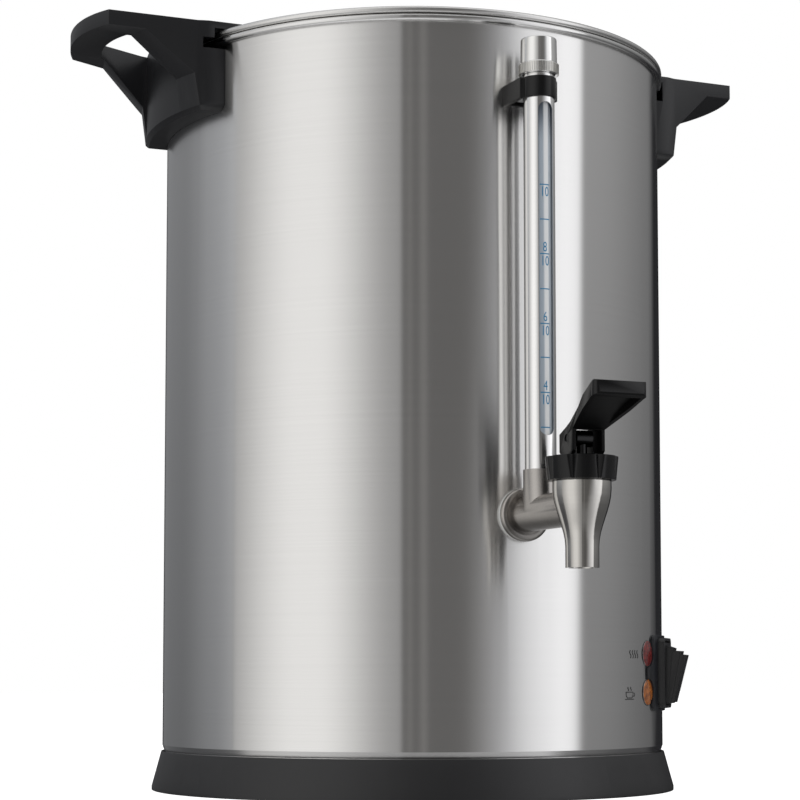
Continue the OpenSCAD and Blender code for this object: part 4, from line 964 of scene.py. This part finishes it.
def buildWorld():
    world = bpy.data.worlds.new("studioRoom")
    bpy.context.scene.world = world
    world.use_nodes = True
    m = Maker(world.node_tree)
    way = m.node("ShaderNodeTexCoord", output=0)
    x, y, z = [m.node("ShaderNodeSeparateXYZ", {}, {0: way}, k) for k in range(3)]
    a = math.radians(shot["azimuth"])
    side = x * math.cos(a) + y * math.sin(a)
    front = x * math.sin(a) - y * math.cos(a)
    turn = m.node("ShaderNodeMath", {"operation": "ARCTAN2"}, {0: side, 1: front}) * (180 / math.pi)
    room = studio["dark"]
    for name, light in roomLights.items():
        here = turn - z * light["lean"] if "lean" in light else turn
        level = here.between(*light["rise"]) * (1 - here.between(*light["fall"])) * light["level"]
        if "climb" in light:
            level = level * (1 + (z - studio["climbFrom"]) * light["climb"])
        glow = m.mixColour(level, (0, 0, 0), light["tint"])
        room = m.mixColour(1.0, room, glow, "ADD")
    for part, height in (("ceiling", z), ("ground", 0 - z), ("floor", 0 - z)):
        level, start, end = studio[part]
        room = m.mixColour(height.between(start, end), room, (level,) * 3)
    seen = m.node("ShaderNodeLightPath", output=0)
    shiny = m.node("ShaderNodeLightPath", output=3)
    through = m.node("ShaderNodeLightPath", output=6)
    plain = m.mixColour(shiny, (studio["soft"],) * 3, room)
    shown = m.mixColour((seen + through).clipped(), plain, (1.0, 1.0, 1.0))
    back = m.node("ShaderNodeBackground", {}, {"Color": shown, "Strength": 1.0})
    out = m.tree.nodes.new("ShaderNodeOutputWorld")
    m.tree.links.new(back.socket, out.inputs["Surface"])


softLamps = {
    "key": {"at": (-1.3, -1.5, 1.4), "towards": (0, 0, 0.25), "size": 1.1, "power": 7.0},
    "fill": {"at": (1.5, -1.0, 0.9), "towards": (0, 0, 0.2), "size": 1.0, "power": 5.0},
    "top": {"at": (0.1, 0.4, 1.9), "towards": (0, 0, 0.2), "size": 1.2, "power": 4.0},
}


def softLamp(name, look):
    lamp = bpy.data.lights.new(name, "AREA")
    lamp.shape, lamp.size, lamp.energy = "DISK", look["size"], look["power"]
    obj = bpy.data.objects.new(name, lamp)
    bpy.context.scene.collection.objects.link(obj)
    obj.location = look["at"]
    obj.rotation_euler = (Vector(look["towards"]) - Vector(look["at"])).to_track_quat("-Z", "Y").to_euler()
    obj.visible_glossy = False
    obj.visible_camera = False


floor = {"half": 6, "glow": 1.9, "glowShare": 0.55}      # metres to its edge; it glows only where the camera sees it


def buildFloor():
    mesh = bpy.data.meshes.new("floorSheet")
    half = floor["half"]
    mesh.from_pydata([(-half, -half, 0), (half, -half, 0), (half, half, 0), (-half, half, 0)], [], [(0, 1, 2, 3)])
    obj = bpy.data.objects.new("floorSheet", mesh)
    bpy.context.scene.collection.objects.link(obj)
    made, m = startMaterial("paleFloor")
    seen = m.node("ShaderNodeLightPath", output=0)
    grain = m.noise(m.place((40, 40, 40)), 2.0, 0.5)
    tone = m.mixColour(grain, (0.86, 0.86, 0.86), (0.90, 0.90, 0.90))
    matt = m.node("ShaderNodeBsdfDiffuse", {}, {"Color": tone})
    glow = m.node("ShaderNodeEmission", {}, {"Color": (1, 1, 1), "Strength": floor["glow"]})
    both = m.node("ShaderNodeMixShader", {}, {0: seen * floor["glowShare"], 1: matt, 2: glow})
    out = m.tree.nodes.new("ShaderNodeOutputMaterial")
    m.tree.links.new(both.socket, out.inputs["Surface"])
    paint(obj, made)
    obj.visible_glossy = False


buildWorld()
for name, look in softLamps.items():
    softLamp(name, look)
buildFloor()

camera = bpy.data.cameras.new("photoCamera")
camera.lens, camera.sensor_width, camera.shift_y = shot["lens"], shot["sensor"], shot["shiftY"]
camera.clip_start = shot["near"]
cameraObject = bpy.data.objects.new("photoCamera", camera)
bpy.context.scene.collection.objects.link(cameraObject)
cameraObject.location = onRing(shot["distance"], shot["azimuth"], shot["height"])
cameraObject.rotation_euler = (math.radians(90 + shot["pitch"]), 0, math.radians(shot["azimuth"] + shot["yaw"]))
bpy.context.scene.camera = cameraObject
bpy.context.scene.view_settings.view_transform = "Standard"
print("studio ready")
